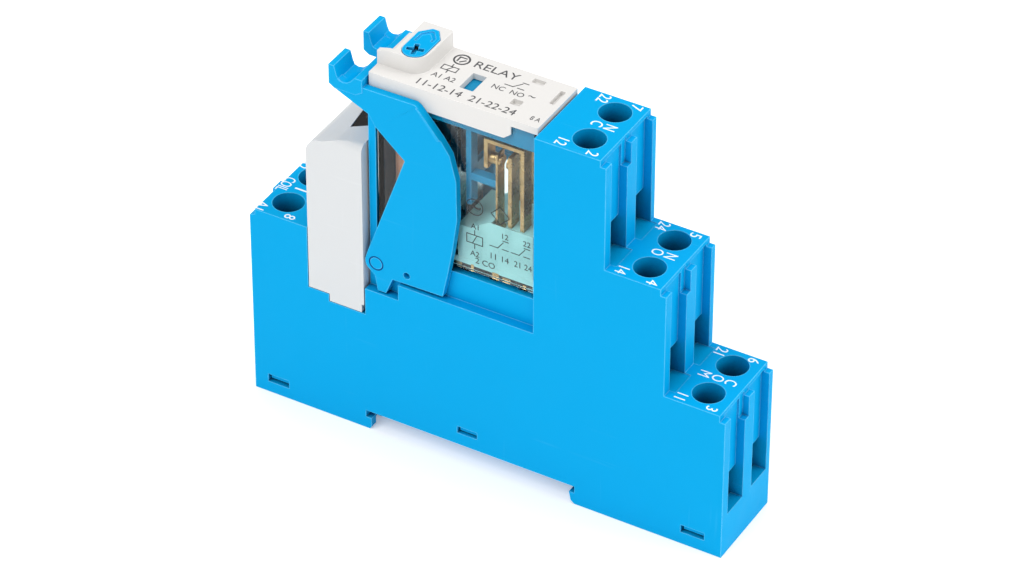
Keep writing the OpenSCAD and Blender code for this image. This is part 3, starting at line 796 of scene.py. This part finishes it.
@dataclass
class PrintPanel:
    """A flat area that carries raised printing, with its own reading direction."""

    origin: Vector
    reading: Vector
    upright: Vector
    ink_height: float = 0.02 * MM
    bite: float = 0.01 * MM
    shape: bmesh.types.BMesh = field(default_factory=bmesh.new)

    def put(self, across: float, along: float, lift: float) -> Vector:
        """A point of the panel, in metres from its origin, lifted off the surface."""
        outwards = self.reading.cross(self.upright)
        return self.origin + self.reading * across + self.upright * along + outwards * lift

    def word(self, text: str, across: float, along: float, height: float, narrow: float = 1.0) -> None:
        """Prints a word centred on a point.

        Args:
            text: The characters.
            across: Where its middle lies along the reading direction, in metres.
            along: Where its middle lies upwards, in metres.
            height: Height of its characters, in metres.
            narrow: How wide it is against its natural width.
        """
        letters = bpy.data.curves.new("letters", "FONT")
        letters.body = text
        letters.extrude = 0.5
        letters.resolution_u = 5
        holder = bpy.data.objects.new("letters", letters)
        mesh = bpy.data.meshes.new_from_object(holder)
        xs = [v.co.x for v in mesh.vertices]
        ys = [v.co.y for v in mesh.vertices]
        middle = ((min(xs) + max(xs)) / 2, (min(ys) + max(ys)) / 2)
        factor = height / (max(ys) - min(ys))
        start = len(self.shape.verts)
        self.shape.from_mesh(mesh)
        self.shape.verts.ensure_lookup_table()
        for vertex in self.shape.verts[start:]:
            lift = self.ink_height if vertex.co.z > 0 else -self.bite
            vertex.co = self.put(
                across + (vertex.co.x - middle[0]) * factor * narrow,
                along + (vertex.co.y - middle[1]) * factor,
                lift,
            )
        bpy.data.objects.remove(holder)
        bpy.data.curves.remove(letters)
        bpy.data.meshes.remove(mesh)

    def line(self, points: Sequence[Flat], width: float) -> None:
        """Prints straight strokes through points.

        Args:
            points: The points, across and along, in metres.
            width: The strokes' width.
        """
        for start, end in zip(points, points[1:]):
            run = Vector((end[0] - start[0], end[1] - start[1])).normalized()
            aside = Vector((-run.y, run.x)) * (width / 2)
            first = Vector(start) - run * (width / 2)
            last = Vector(end) + run * (width / 2)
            corners = (first - aside, last - aside, last + aside, first + aside)
            self.prism([(c.x, c.y) for c in corners])

    def prism(self, outline: Sequence[Flat]) -> None:
        """Prints a filled outline.

        Args:
            outline: Its corners in order.
        """
        low = [self.shape.verts.new(self.put(x, y, -self.bite)) for x, y in outline]
        high = [self.shape.verts.new(self.put(x, y, self.ink_height)) for x, y in outline]
        self.shape.faces.new(high)
        self.shape.faces.new(list(reversed(low)))
        for at in range(len(outline)):
            after = (at + 1) % len(outline)
            self.shape.faces.new((low[at], low[after], high[after], high[at]))

    def ring(self, across: float, along: float, radius: float, width: float, steps: int = 28) -> None:
        """Prints a circle.

        Args:
            across: Its middle along the reading direction.
            along: Its middle upwards.
            radius: Its radius.
            width: The stroke's width.
            steps: How many straight pieces make it up.
        """
        for step in range(steps):
            turns = (math.tau * step / steps, math.tau * (step + 1) / steps)
            inner, outer = radius - width / 2, radius + width / 2
            spots = ((inner, turns[0]), (outer, turns[0]), (outer, turns[1]), (inner, turns[1]))
            self.prism([(across + r * math.cos(t), along + r * math.sin(t)) for r, t in spots])

    def coil_mark(self, across: float, along: float, width: float, height: float, stroke: float) -> None:
        """Prints the sign of a relay coil: a box with a slanted bar and two leads.

        Args:
            across: Its middle along the reading direction.
            along: Its middle upwards.
            width: Width of the box.
            height: Height of the box.
            stroke: Width of the strokes.
        """
        left, right = across - width / 2, across + width / 2
        low, high = along - height / 2, along + height / 2
        self.line([(left, low), (right, low), (right, high), (left, high), (left, low)], stroke)
        self.line([(across - width * 0.14, low), (across + width * 0.14, high)], stroke)
        for edge, reach in ((high, height * 0.55), (low, -height * 0.55)):
            self.line([(across, edge), (across, edge + reach)], stroke)

    def changeover_mark(self, across: float, along: float, size: float, stroke: float) -> None:
        """Prints the sign of a changeover contact: a blade between two fixed contacts.

        Args:
            across: Its middle along the reading direction.
            along: Its middle upwards.
            size: Its width.
            stroke: Width of the strokes.
        """
        half = size / 2
        foot, hinge = along - half * 0.5, across - half * 0.15
        self.line([(across - half, foot), (hinge, foot)], stroke)
        self.line([(hinge, foot), (across + half * 0.45, along + half * 0.3)], stroke)
        self.line([(across + half * 0.35, foot), (across + half, foot)], stroke)
        self.line([(across + half * 0.4, along + half * 0.5), (across + half, along + half * 0.5)], stroke)

    def press(self, name: str, body: str) -> bpy.types.Object:
        """Closes the printing into one piece.

        Args:
            name: The piece's name.
            body: The body that it moves with.

        Returns:
            The printed piece.
        """
        bmesh.ops.remove_doubles(self.shape, verts=self.shape.verts, dist=0.0005 * MM)
        return solid(name, self.shape, body)


# ---- sub-assemblies ----


@dataclass
class SubAssembly:
    """A group of pieces that is dressed together."""

    paint: Paint
    plain: dict[str, tuple[str, Edges | None]] = field(default_factory=dict)

    def dress(self) -> None:
        """Lays the finishes on the group's frame nodes and rounds their edges."""
        for node, (finish, edges) in self.plain.items():
            piece = NODES[node]
            self.paint.lay(piece, finish)
            if edges is not None:
                edges.round(piece)
            log.info("%s: %s", node, finish)


@dataclass
class StepLabels:
    """What is printed beside the screw holes of one tier."""

    word: str
    front: tuple[str, str]
    back: tuple[str, str]


@dataclass
class Socket(SubAssembly):
    """The blue housing with its base cover, its rail latch and the white printing on its steps."""

    head_depth: float = 4.2 * MM
    digit: float = 1.75 * MM
    letter: float = 1.8 * MM
    letter_pitch: float = 2.1 * MM
    inset: float = 1.2 * MM
    plain: dict[str, tuple[str, Edges | None]] = field(
        default_factory=lambda: {
            "socket_housing": ("socket_blue", Edges(0.14 * MM)),
            "base_cover": ("cover_blue", Edges(0.1 * MM)),
            "rail_latch": ("cover_blue", Edges(0.1 * MM)),
        }
    )
    labels: dict[Tier, StepLabels] = field(
        default_factory=lambda: {
            Tier.NC: StepLabels("NC", ("12", "2"), ("22", "7")),
            Tier.NO: StepLabels("NO", ("14", "4"), ("24", "5")),
            Tier.COM: StepLabels("COM", ("11", "3"), ("21", "6")),
            Tier.COIL: StepLabels("COIL", ("A1", "8"), ("A2", "1")),
        }
    )

    def hole(self, tier: Tier, row: Row) -> Vector:
        """The middle of a screw hole at the level of its step.

        Args:
            tier: Which height.
            row: Front or back.

        Returns:
            The point, in metres.
        """
        low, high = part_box(f"terminal_screw_{tier.value}_{row.value}")
        return Vector(((low[0] + high[0]) / 2, (low[1] + high[1]) / 2, high[2] + self.head_depth))

    def print_tier(self, tier: Tier) -> bpy.types.Object:
        """Prints the numbers and the contact's name on one step.

        Args:
            tier: Which step.

        Returns:
            The printed piece.
        """
        label = self.labels[tier]
        front, back = self.hole(tier, Row.FRONT), self.hole(tier, Row.BACK)
        sides = (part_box("socket_housing")[0][1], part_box("socket_housing")[1][1])
        panel = PrintPanel(Vector((front.x, 0.0, front.z)), Vector((0, -1, 0)), Vector((1, 0, 0)))
        for texts, edge, inward in ((label.front, sides[0], 1), (label.back, sides[1], -1)):
            across = -(edge + inward * self.inset)
            panel.word(texts[0], across - inward * 0.05 * MM, -3.0 * MM, self.digit, 0.8)
            panel.word(texts[1], across + inward * 0.3 * MM, 2.05 * MM, self.digit, 0.9)
        middle = -(front.y + back.y) / 2
        if tier is Tier.COIL:
            panel.word(label.word, middle, -2.7 * MM, self.digit, 0.62)
            panel.line([(middle + 0.1 * MM, -0.9 * MM), (middle + 0.1 * MM, 0.9 * MM)], 0.3 * MM)
            return panel.press("stencil_coil", "socket")
        first = {Tier.NC: 1.25, Tier.NO: 1.35, Tier.COM: 1.65}[tier] * MM
        for at, letter in enumerate(label.word):
            panel.word(letter, middle, first - at * self.letter_pitch, self.letter, 0.72)
        return panel.press(f"stencil_{tier.value}", "socket")

    def build(self) -> None:
        """Dresses the mouldings and prints all four steps."""
        self.dress()
        for tier in Tier:
            printed = self.print_tier(tier)
            self.paint.lay(printed, "stencil_white")
            log.info("%s: %d faces", printed.name, len(printed.data.polygons))


@dataclass
class Terminals(SubAssembly):
    """The contact bars, terminal screws and clamp cages."""

    bar_edges: Edges = field(default_factory=lambda: Edges(0.05 * MM, 2))
    screw_edges: Edges = field(default_factory=lambda: Edges(0.08 * MM, 2))

    def build(self) -> None:
        """Dresses the metal parts of every terminal."""
        for tier in Tier:
            for row in Row:
                place = f"{tier.value}_{row.value}"
                self.plain[f"contact_bar_{place}"] = ("contact_bronze", self.bar_edges)
                self.plain[f"terminal_screw_{place}"] = ("screw_steel", self.screw_edges)
                self.plain[f"clamp_cage_{place}"] = ("screw_steel", self.bar_edges)
        self.dress()


@dataclass
class ReleaseLever(SubAssembly):
    """The blue lever with painted shade rings round its pivots."""

    pivot: Flat = (-18.0 * MM, 30.85 * MM)
    ridge: float = 0.2 * MM
    plain: dict[str, tuple[str, Edges | None]] = field(
        default_factory=lambda: {"release_lever": ("lever_blue", Edges(0.12 * MM))}
    )

    ring_radius: float = 1.12 * MM
    ring_width: float = 0.2 * MM

    def gap_shade_ring(self, row: Row) -> bpy.types.Object:
        """Draws a dark ring of painted shade in the narrow gap round the stud that the lever hangs on.

        Args:
            row: Which arm.

        Returns:
            The ring.
        """
        low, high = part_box("release_lever")
        outside = (low[1] + self.ridge) if row is Row.FRONT else (high[1] - self.ridge)
        facing = Vector((1, 0, 0)) if row is Row.FRONT else Vector((-1, 0, 0))
        panel = PrintPanel(Vector((self.pivot[0], outside, self.pivot[1])), facing, Vector((0, 0, 1)))
        panel.ring(0.0, 0.0, self.ring_radius, self.ring_width)
        return panel.press(f"pivot_gap_shade_{row.value}", "lever")

    def build(self) -> None:
        """Dresses the lever and paints shade rings in its pivot gaps."""
        self.dress()
        for row in Row:
            self.paint.lay(self.gap_shade_ring(row), "gap_shade_blue")


@dataclass
class StatusModule(SubAssembly):
    """The grey plug-in module: shell, smoked lens, board, lamp, diode and blades."""

    plain: dict[str, tuple[str, Edges | None]] = field(
        default_factory=lambda: {
            "module_shell": ("module_grey", Edges(0.25 * MM, 3)),
            "module_lens": ("lens_smoke", Edges(0.08 * MM)),
            "module_board": ("board_green", Edges(0.05 * MM)),
            "module_lamp": ("lamp_green", None),
            "module_diode": ("diode_black", Edges(0.06 * MM)),
            "module_blades": ("contact_bronze", Edges(0.05 * MM)),
        }
    )

    def build(self) -> None:
        """Dresses the module."""
        self.dress()


@dataclass
class Relay(SubAssembly):
    """The plug-in relay: cap, button, clear case, base, coil and contacts."""

    boss_rise: float = 2.8 * MM
    wire_pitch: float = 0.26 * MM
    wire_bulge: float = 0.09 * MM
    bobbin_radius: float = 2.2 * MM
    fill: Flat = (0.45 * MM, 0.2 * MM)
    squareness: float = 3.2
    lead_radius: float = 0.09 * MM
    plain: dict[str, tuple[str, Edges | None]] = field(
        default_factory=lambda: {
            "relay_base": ("base_mint", Edges(0.08 * MM)),
            "relay_case": ("case_clear", Edges(0.14 * MM)),
            "relay_cap": ("cap_white", Edges(0.1 * MM)),
            "test_button": ("socket_blue", Edges(0.05 * MM)),
            "coil_bobbin": ("bobbin_black", Edges(0.1 * MM)),
            "coil_core": ("pole_steel", Edges(0.08 * MM)),
            "coil_yoke": ("pole_steel", Edges(0.08 * MM)),
            "armature": ("pole_steel", Edges(0.06 * MM)),
            "actuator_card": ("card_teal", Edges(0.06 * MM)),
            "coil_pins": ("contact_bronze", Edges(0.04 * MM)),
        }
    )

    def wind(self) -> bpy.types.Object:
        """Winds the coil as one helical layer of wire over its full depth.

        Returns:
            The winding, which stands for the frame's plain one.
        """
        low, high = (Vector(corner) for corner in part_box("coil_winding"))
        middle = (low + high) / 2
        depth = (high.x - low.x) / 2 + self.fill[0]
        width = (high.y - low.y) / 2 + self.fill[1]
        sides, rows = 72, 6
        turns = int((high.z - low.z) / self.wire_pitch)
        shape = bmesh.new()
        rings: list[list[bmesh.types.BMVert]] = []
        core = self.bobbin_radius
        levels = [(low.z, core, core, 0.0)]
        for at in range(turns * rows + 1):
            levels.append((low.z + self.wire_pitch * at / rows, depth, width, 1.0))
        levels.append((high.z, depth - self.wire_bulge, width - self.wire_bulge, 0.0))
        levels.append((high.z, core, core, 0.0))
        for z, along, across, scalloped in levels:
            ring = []
            for side in range(sides):
                turn = math.tau * side / sides
                phase = math.pi * (z - low.z) / self.wire_pitch + turn / 2
                bulge = self.wire_bulge * (1 - abs(math.sin(phase))) * scalloped
                power = self.squareness if along > core else 2.0
                cosine, sine = abs(math.cos(turn)), abs(math.sin(turn))
                reach = (cosine**power + sine**power) ** (-1 / power)
                x = middle.x + (along - bulge) * reach * math.cos(turn)
                y = middle.y + (across - bulge) * reach * math.sin(turn)
                ring.append(shape.verts.new((x, y, z)))
            rings.append(ring)
        for lower, upper in zip(rings, rings[1:]):
            for side in range(sides):
                after = (side + 1) % sides
                shape.faces.new((lower[side], lower[after], upper[after], upper[side]))
        for side in range(sides):
            after = (side + 1) % sides
            shape.faces.new((rings[-1][side], rings[-1][after], rings[0][after], rings[0][side]))
        winding = solid("winding_turns", shape, "relay")
        winding.data.shade_smooth()
        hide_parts("coil_winding")
        return winding

    def lead(self, row: Row) -> bpy.types.Object:
        """Leads one end of the winding down to its coil pin.

        Args:
            row: Which pin.

        Returns:
            The lead wire.
        """
        low, high = (Vector(corner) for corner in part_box("coil_winding"))
        middle = (low + high) / 2
        side = -1 if row is Row.FRONT else 1
        pin_low, pin_high = (Vector(corner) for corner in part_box("coil_pins"))
        pin_y = pin_low.y + 1.1 * MM if row is Row.FRONT else pin_high.y - 1.1 * MM
        start = Vector((middle.x - 3.2 * MM, middle.y + side * 2.85 * MM, low.z + 0.5 * MM))
        stops = (
            start,
            Vector((low.x - 0.35 * MM, pin_y, low.z + 0.2 * MM)),
            Vector((low.x - 0.75 * MM, pin_y, low.z - 0.6 * MM)),
            Vector((pin_low.x + 0.2 * MM, pin_y, pin_high.z + 0.05 * MM)),
        )
        route = []
        for first, last in zip(stops, stops[1:]):
            route += [first.lerp(last, at / 5) for at in range(5)]
        route.append(stops[-1])
        shape = bmesh.new()
        tube(shape, route, self.lead_radius, 8)
        wire = solid(f"coil_lead_{row.value}", shape, "relay")
        wire.data.shade_smooth()
        return wire

    def flag(self) -> bpy.types.Object:
        """Raises the card's flag to just under the window of the cap.

        Returns:
            The flag's face.
        """
        low, high = (Vector(corner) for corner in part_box("actuator_card"))
        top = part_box("relay_cap")[1][2] - self.boss_rise - 1.1 * MM
        return self.brick("flag_face", (low.x + 0.2 * MM, low.y + 1.4 * MM, high.z - 0.1 * MM),
                          (low.x + 4.9 * MM, low.y + 7.0 * MM, top), "card")

    def brick(self, name: str, low: Sequence[float], high: Sequence[float], body: str) -> bpy.types.Object:
        """Makes a box between two corners.

        Args:
            name: The piece's name.
            low: Its lowest corner.
            high: Its highest corner.
            body: The body that it moves with.

        Returns:
            The box.
        """
        shape = bmesh.new()
        bmesh.ops.create_cube(shape, size=1.0)
        middle = (Vector(low) + Vector(high)) / 2
        for vertex in shape.verts:
            vertex.co = middle + Vector(n * (b - a) for n, a, b in zip(vertex.co, low, high))
        return solid(name, shape, body)

    def roots(self) -> list[bpy.types.Object]:
        """Lays the dark seam and the bronze blade roots along the foot of the clear case.

        Returns:
            The seam and the roots.
        """
        case_low, case_high = (Vector(corner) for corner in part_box("relay_case"))
        base_low = Vector(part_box("relay_base")[0])
        front = case_low.y + 0.72 * MM
        start, end = case_low.x + 0.9 * MM, case_high.x - 0.9 * MM
        foot = case_low.z + 0.1 * MM
        seam_low = (start, front + 0.01 * MM, foot)
        seam_high = (end, base_low.y + 0.3 * MM, foot + 0.55 * MM)
        pieces = [self.brick("case_seam", seam_low, seam_high, "relay")]
        count = 9
        for at in range(count):
            left = start + (end - start) * (at + 0.35 + 0.2 * math.sin(2.4 * at)) / count
            wide = (0.9 + 0.45 * math.cos(1.9 * at)) * MM
            tall = (0.55 + 0.25 * math.sin(1.3 * at + 1)) * MM
            root_low = (left, front, foot)
            root_high = (left + wide, front + 0.1 * MM, foot + tall)
            pieces.append(self.brick(f"blade_root_{at}", root_low, root_high, "relay"))
        return pieces

    def colour_lip(self) -> None:
        """Lays blue on the lip that reaches from the cap down into the case."""
        cap = NODES["relay_cap"]
        cap_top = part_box("relay_cap")[1][2]
        case_low, case_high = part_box("relay_case")
        inset, pocket_depth = 0.5 * MM, 1.2 * MM
        cap.data.materials.append(self.paint.materials["card_teal"])
        for face in cap.data.polygons:
            inside = case_low[1] + inset < face.center.y < case_high[1] - inset
            under = face.center.z < cap_top - self.boss_rise - pocket_depth
            if inside and under:
                face.material_index = 1

    def print_cap(self) -> bpy.types.Object:
        """Prints signs and terminal numbers on the cap's top.

        Returns:
            The printed piece.
        """
        low, high = (Vector(corner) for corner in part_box("relay_cap"))
        corner = Vector((low.x, low.y, high.z - self.boss_rise))
        panel = PrintPanel(corner, Vector((1, 0, 0)), Vector((0, 1, 0)))
        stroke = 0.16 * MM
        panel.coil_mark(9.5 * MM, 6.4 * MM, 2.4 * MM, 1.05 * MM, stroke)
        panel.word("A1 A2", 9.8 * MM, 4.15 * MM, 1.05 * MM, 0.95)
        panel.ring(9.9 * MM, 9.1 * MM, 1.15 * MM, 0.28 * MM)
        panel.line([(9.4 * MM, 8.6 * MM), (9.4 * MM, 9.6 * MM), (10.4 * MM, 9.6 * MM)], 0.24 * MM)
        panel.line([(9.9 * MM, 8.5 * MM), (10.5 * MM, 9.1 * MM)], 0.24 * MM)
        panel.word("RELAY", 15.6 * MM, 9.2 * MM, 1.5 * MM, 1.15)
        panel.changeover_mark(19.6 * MM, 7.75 * MM, 3.0 * MM, stroke)
        panel.word("NC  NO", 19.3 * MM, 5.8 * MM, 1.0 * MM)
        panel.word("11-12-14  21-22-24", 15.0 * MM, 1.65 * MM, 1.4 * MM, 1.02)
        panel.word("~", 22.9 * MM, 6.2 * MM, 0.35 * MM, 0.9)
        panel.word("8 A", 26.0 * MM, 1.8 * MM, 0.95 * MM, 0.8)
        return panel.press("cap_printing", "relay")

    def print_case(self) -> bpy.types.Object:
        """Prints the wiring signs low on the front of the clear case.

        Returns:
            The printed piece.
        """
        corner = Vector(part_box("relay_case")[0])
        panel = PrintPanel(corner, Vector((1, 0, 0)), Vector((0, 0, 1)))
        stroke = 0.13 * MM
        panel.ring(15.9 * MM, 11.6 * MM, 1.35 * MM, stroke)
        panel.word("~", 15.9 * MM, 11.6 * MM, 0.5 * MM, 1.2)
        panel.coil_mark(15.9 * MM, 5.9 * MM, 2.6 * MM, 1.5 * MM, stroke)
        panel.changeover_mark(19.9 * MM, 6.6 * MM, 3.0 * MM, stroke)
        panel.changeover_mark(23.4 * MM, 6.6 * MM, 3.0 * MM, stroke)
        panel.line([(18.6 * MM, 11.6 * MM), (20.1 * MM, 13.1 * MM), (21.6 * MM, 11.6 * MM),
                    (20.1 * MM, 10.1 * MM), (18.6 * MM, 11.6 * MM)], stroke)
        panel.word("A1", 15.9 * MM, 8.2 * MM, 0.9 * MM)
        panel.word("A2", 15.9 * MM, 3.4 * MM, 0.9 * MM)
        panel.word("11 14", 20.0 * MM, 4.1 * MM, 1.0 * MM)
        panel.word("21 24", 23.8 * MM, 4.1 * MM, 1.0 * MM, 0.9)
        panel.word("12", 20.9 * MM, 8.2 * MM, 0.9 * MM)
        panel.word("22", 24.4 * MM, 8.2 * MM, 0.9 * MM)
        panel.word("2 CO", 17.6 * MM, 2.3 * MM, 1.0 * MM)
        return panel.press("case_printing", "relay")

    def build(self) -> None:
        """Dresses the relay and adds its winding, leads and printing."""
        for row in Row:
            self.plain[f"com_leaf_{row.value}"] = ("contact_bronze", Edges(0.03 * MM))
            for tier in (Tier.NC, Tier.NO, Tier.COM):
                self.plain[f"relay_contact_{tier.value}_{row.value}"] = ("contact_bronze", Edges(0.04 * MM))
        self.dress()
        self.colour_lip()
        seam, *roots = self.roots()
        added = {
            "card_teal": [self.flag()],
            "bobbin_black": [seam],
            "contact_bronze": roots,
            "winding_copper": [self.wind(), self.lead(Row.FRONT), self.lead(Row.BACK)],
            "stencil_grey": [self.print_cap()],
            "stencil_dark": [self.print_case()],
        }
        for finish, pieces in added.items():
            for piece in pieces:
                self.paint.lay(piece, finish)
                log.info("%s: %d faces", piece.name, len(piece.data.polygons))


# ---- studio ----


@dataclass(frozen=True)
class Camera:
    """A long lens that looks down on the socket from its stepped end."""

    bearing: float = math.radians(29.9693)
    pitch: float = math.radians(37.3148)
    roll: float = math.radians(0.1346)
    distance: float = 729.4179 * MM
    aside: float = 0.2234 * MM
    raised: float = -0.5619 * MM
    lens: float = 179.394
    aim: tuple[float, float, float] = (0.0, 0.0, 30.0 * MM)

    def build(self) -> bpy.types.Object:
        """Sets the camera up and makes it the scene's own.

        Returns:
            The camera.
        """
        back = Vector((math.sin(self.bearing) * math.cos(self.pitch),
                       -math.cos(self.bearing) * math.cos(self.pitch), math.sin(self.pitch)))
        level = Vector((math.cos(self.bearing), math.sin(self.bearing), 0.0))
        upright = back.cross(level)
        right = level * math.cos(self.roll) + upright * math.sin(self.roll)
        up = upright * math.cos(self.roll) - level * math.sin(self.roll)
        place = Vector(self.aim) + back * self.distance + right * self.aside + up * self.raised
        data = bpy.data.cameras.new("camera")
        data.lens = self.lens
        data.sensor_width = 36.0
        data.clip_start = 0.01
        camera = bpy.data.objects.new("camera", data)
        bpy.context.scene.collection.objects.link(camera)
        turned = Matrix((right, up, back)).transposed().to_4x4()
        camera.matrix_world = Matrix.Translation(place) @ turned
        bpy.context.scene.camera = camera
        return camera


@dataclass(frozen=True)
class Lamp:
    """A square soft box."""

    name: str
    place: tuple[float, float, float]
    side: float
    power: float

    def build(self, aim: Vector) -> None:
        """Hangs the soft box and turns it to the object.

        Args:
            aim: The point that it faces.
        """
        data = bpy.data.lights.new(self.name, "AREA")
        data.size = self.side
        data.energy = self.power
        lamp = bpy.data.objects.new(self.name, data)
        bpy.context.scene.collection.objects.link(lamp)
        lamp.location = self.place
        lamp.rotation_euler = (aim - Vector(self.place)).to_track_quat("-Z", "Y").to_euler()


@dataclass(frozen=True)
class Studio:
    """The pale floor, the white surroundings and the soft lamps."""

    floor_side: float = 8.0
    gap: float = 0.05 * MM
    fill: float = 0.5
    lamps: tuple[Lamp, ...] = (
        Lamp("key", (-0.25, -0.65, 0.85), 0.7, 5.5),
        Lamp("rim", (0.8, 0.2, 0.5), 0.6, 3.4),
        Lamp("top", (0.1, 0.3, 1.1), 0.9, 4.5),
    )

    def floor(self) -> None:
        """Lays the pale floor just under the feet."""
        half, level = self.floor_side / 2, -self.gap
        mesh = bpy.data.meshes.new("floor")
        corners = [(-half, -half, level), (half, -half, level), (half, half, level), (-half, half, level)]
        mesh.from_pydata(corners, [], [(0, 1, 2, 3)])
        made = bpy.data.objects.new("floor", mesh)
        bpy.context.scene.collection.objects.link(made)
        paper = bpy.data.materials.new("paper")
        paper.use_nodes = True
        shader = paper.node_tree.nodes["Principled BSDF"]
        shader.inputs["Base Color"].default_value = (0.93, 0.93, 0.93, 1.0)
        shader.inputs["Roughness"].default_value = 0.9
        shader.inputs["Specular IOR Level"].default_value = 0.0
        shader.inputs["Emission Color"].default_value = (1.0, 1.0, 1.0, 1.0)
        shader.inputs["Emission Strength"].default_value = 0.3
        mesh.materials.append(paper)

    def surroundings(self) -> None:
        """Makes the background white and the fill light a little weaker."""
        world = bpy.data.worlds.new("studio")
        world.use_nodes = True
        bpy.context.scene.world = world
        wiring = Wiring(world.node_tree)
        glow = world.node_tree.nodes["Background"]
        glow.inputs["Color"].default_value = (1.0, 1.0, 1.0, 1.0)
        seen = wiring.node("ShaderNodeLightPath").outputs["Is Camera Ray"]
        wiring.join(wiring.spread(seen, 0.0, 1.0, self.fill, 1.1), glow.inputs["Strength"])
        bpy.context.scene.view_settings.view_transform = "Standard"

    def build(self) -> None:
        """Sets up floor, surroundings and lamps."""
        self.floor()
        self.surroundings()
        for lamp in self.lamps:
            lamp.build(Vector((0.0, 0.0, 0.03)))


def main() -> None:
    """Builds the camera, each sub-assembly and the studio in order."""
    logging.basicConfig(level=logging.INFO, format="%(name)s %(message)s", stream=sys.stdout)
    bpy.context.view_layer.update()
    Camera().build()
    paint = Paint()
    for assembly in (Socket, Terminals, ReleaseLever, StatusModule, Relay):
        assembly(paint).build()
        log.info("%s done", assembly.__name__)
    Studio().build()


if __name__ == "__main__":
    main()
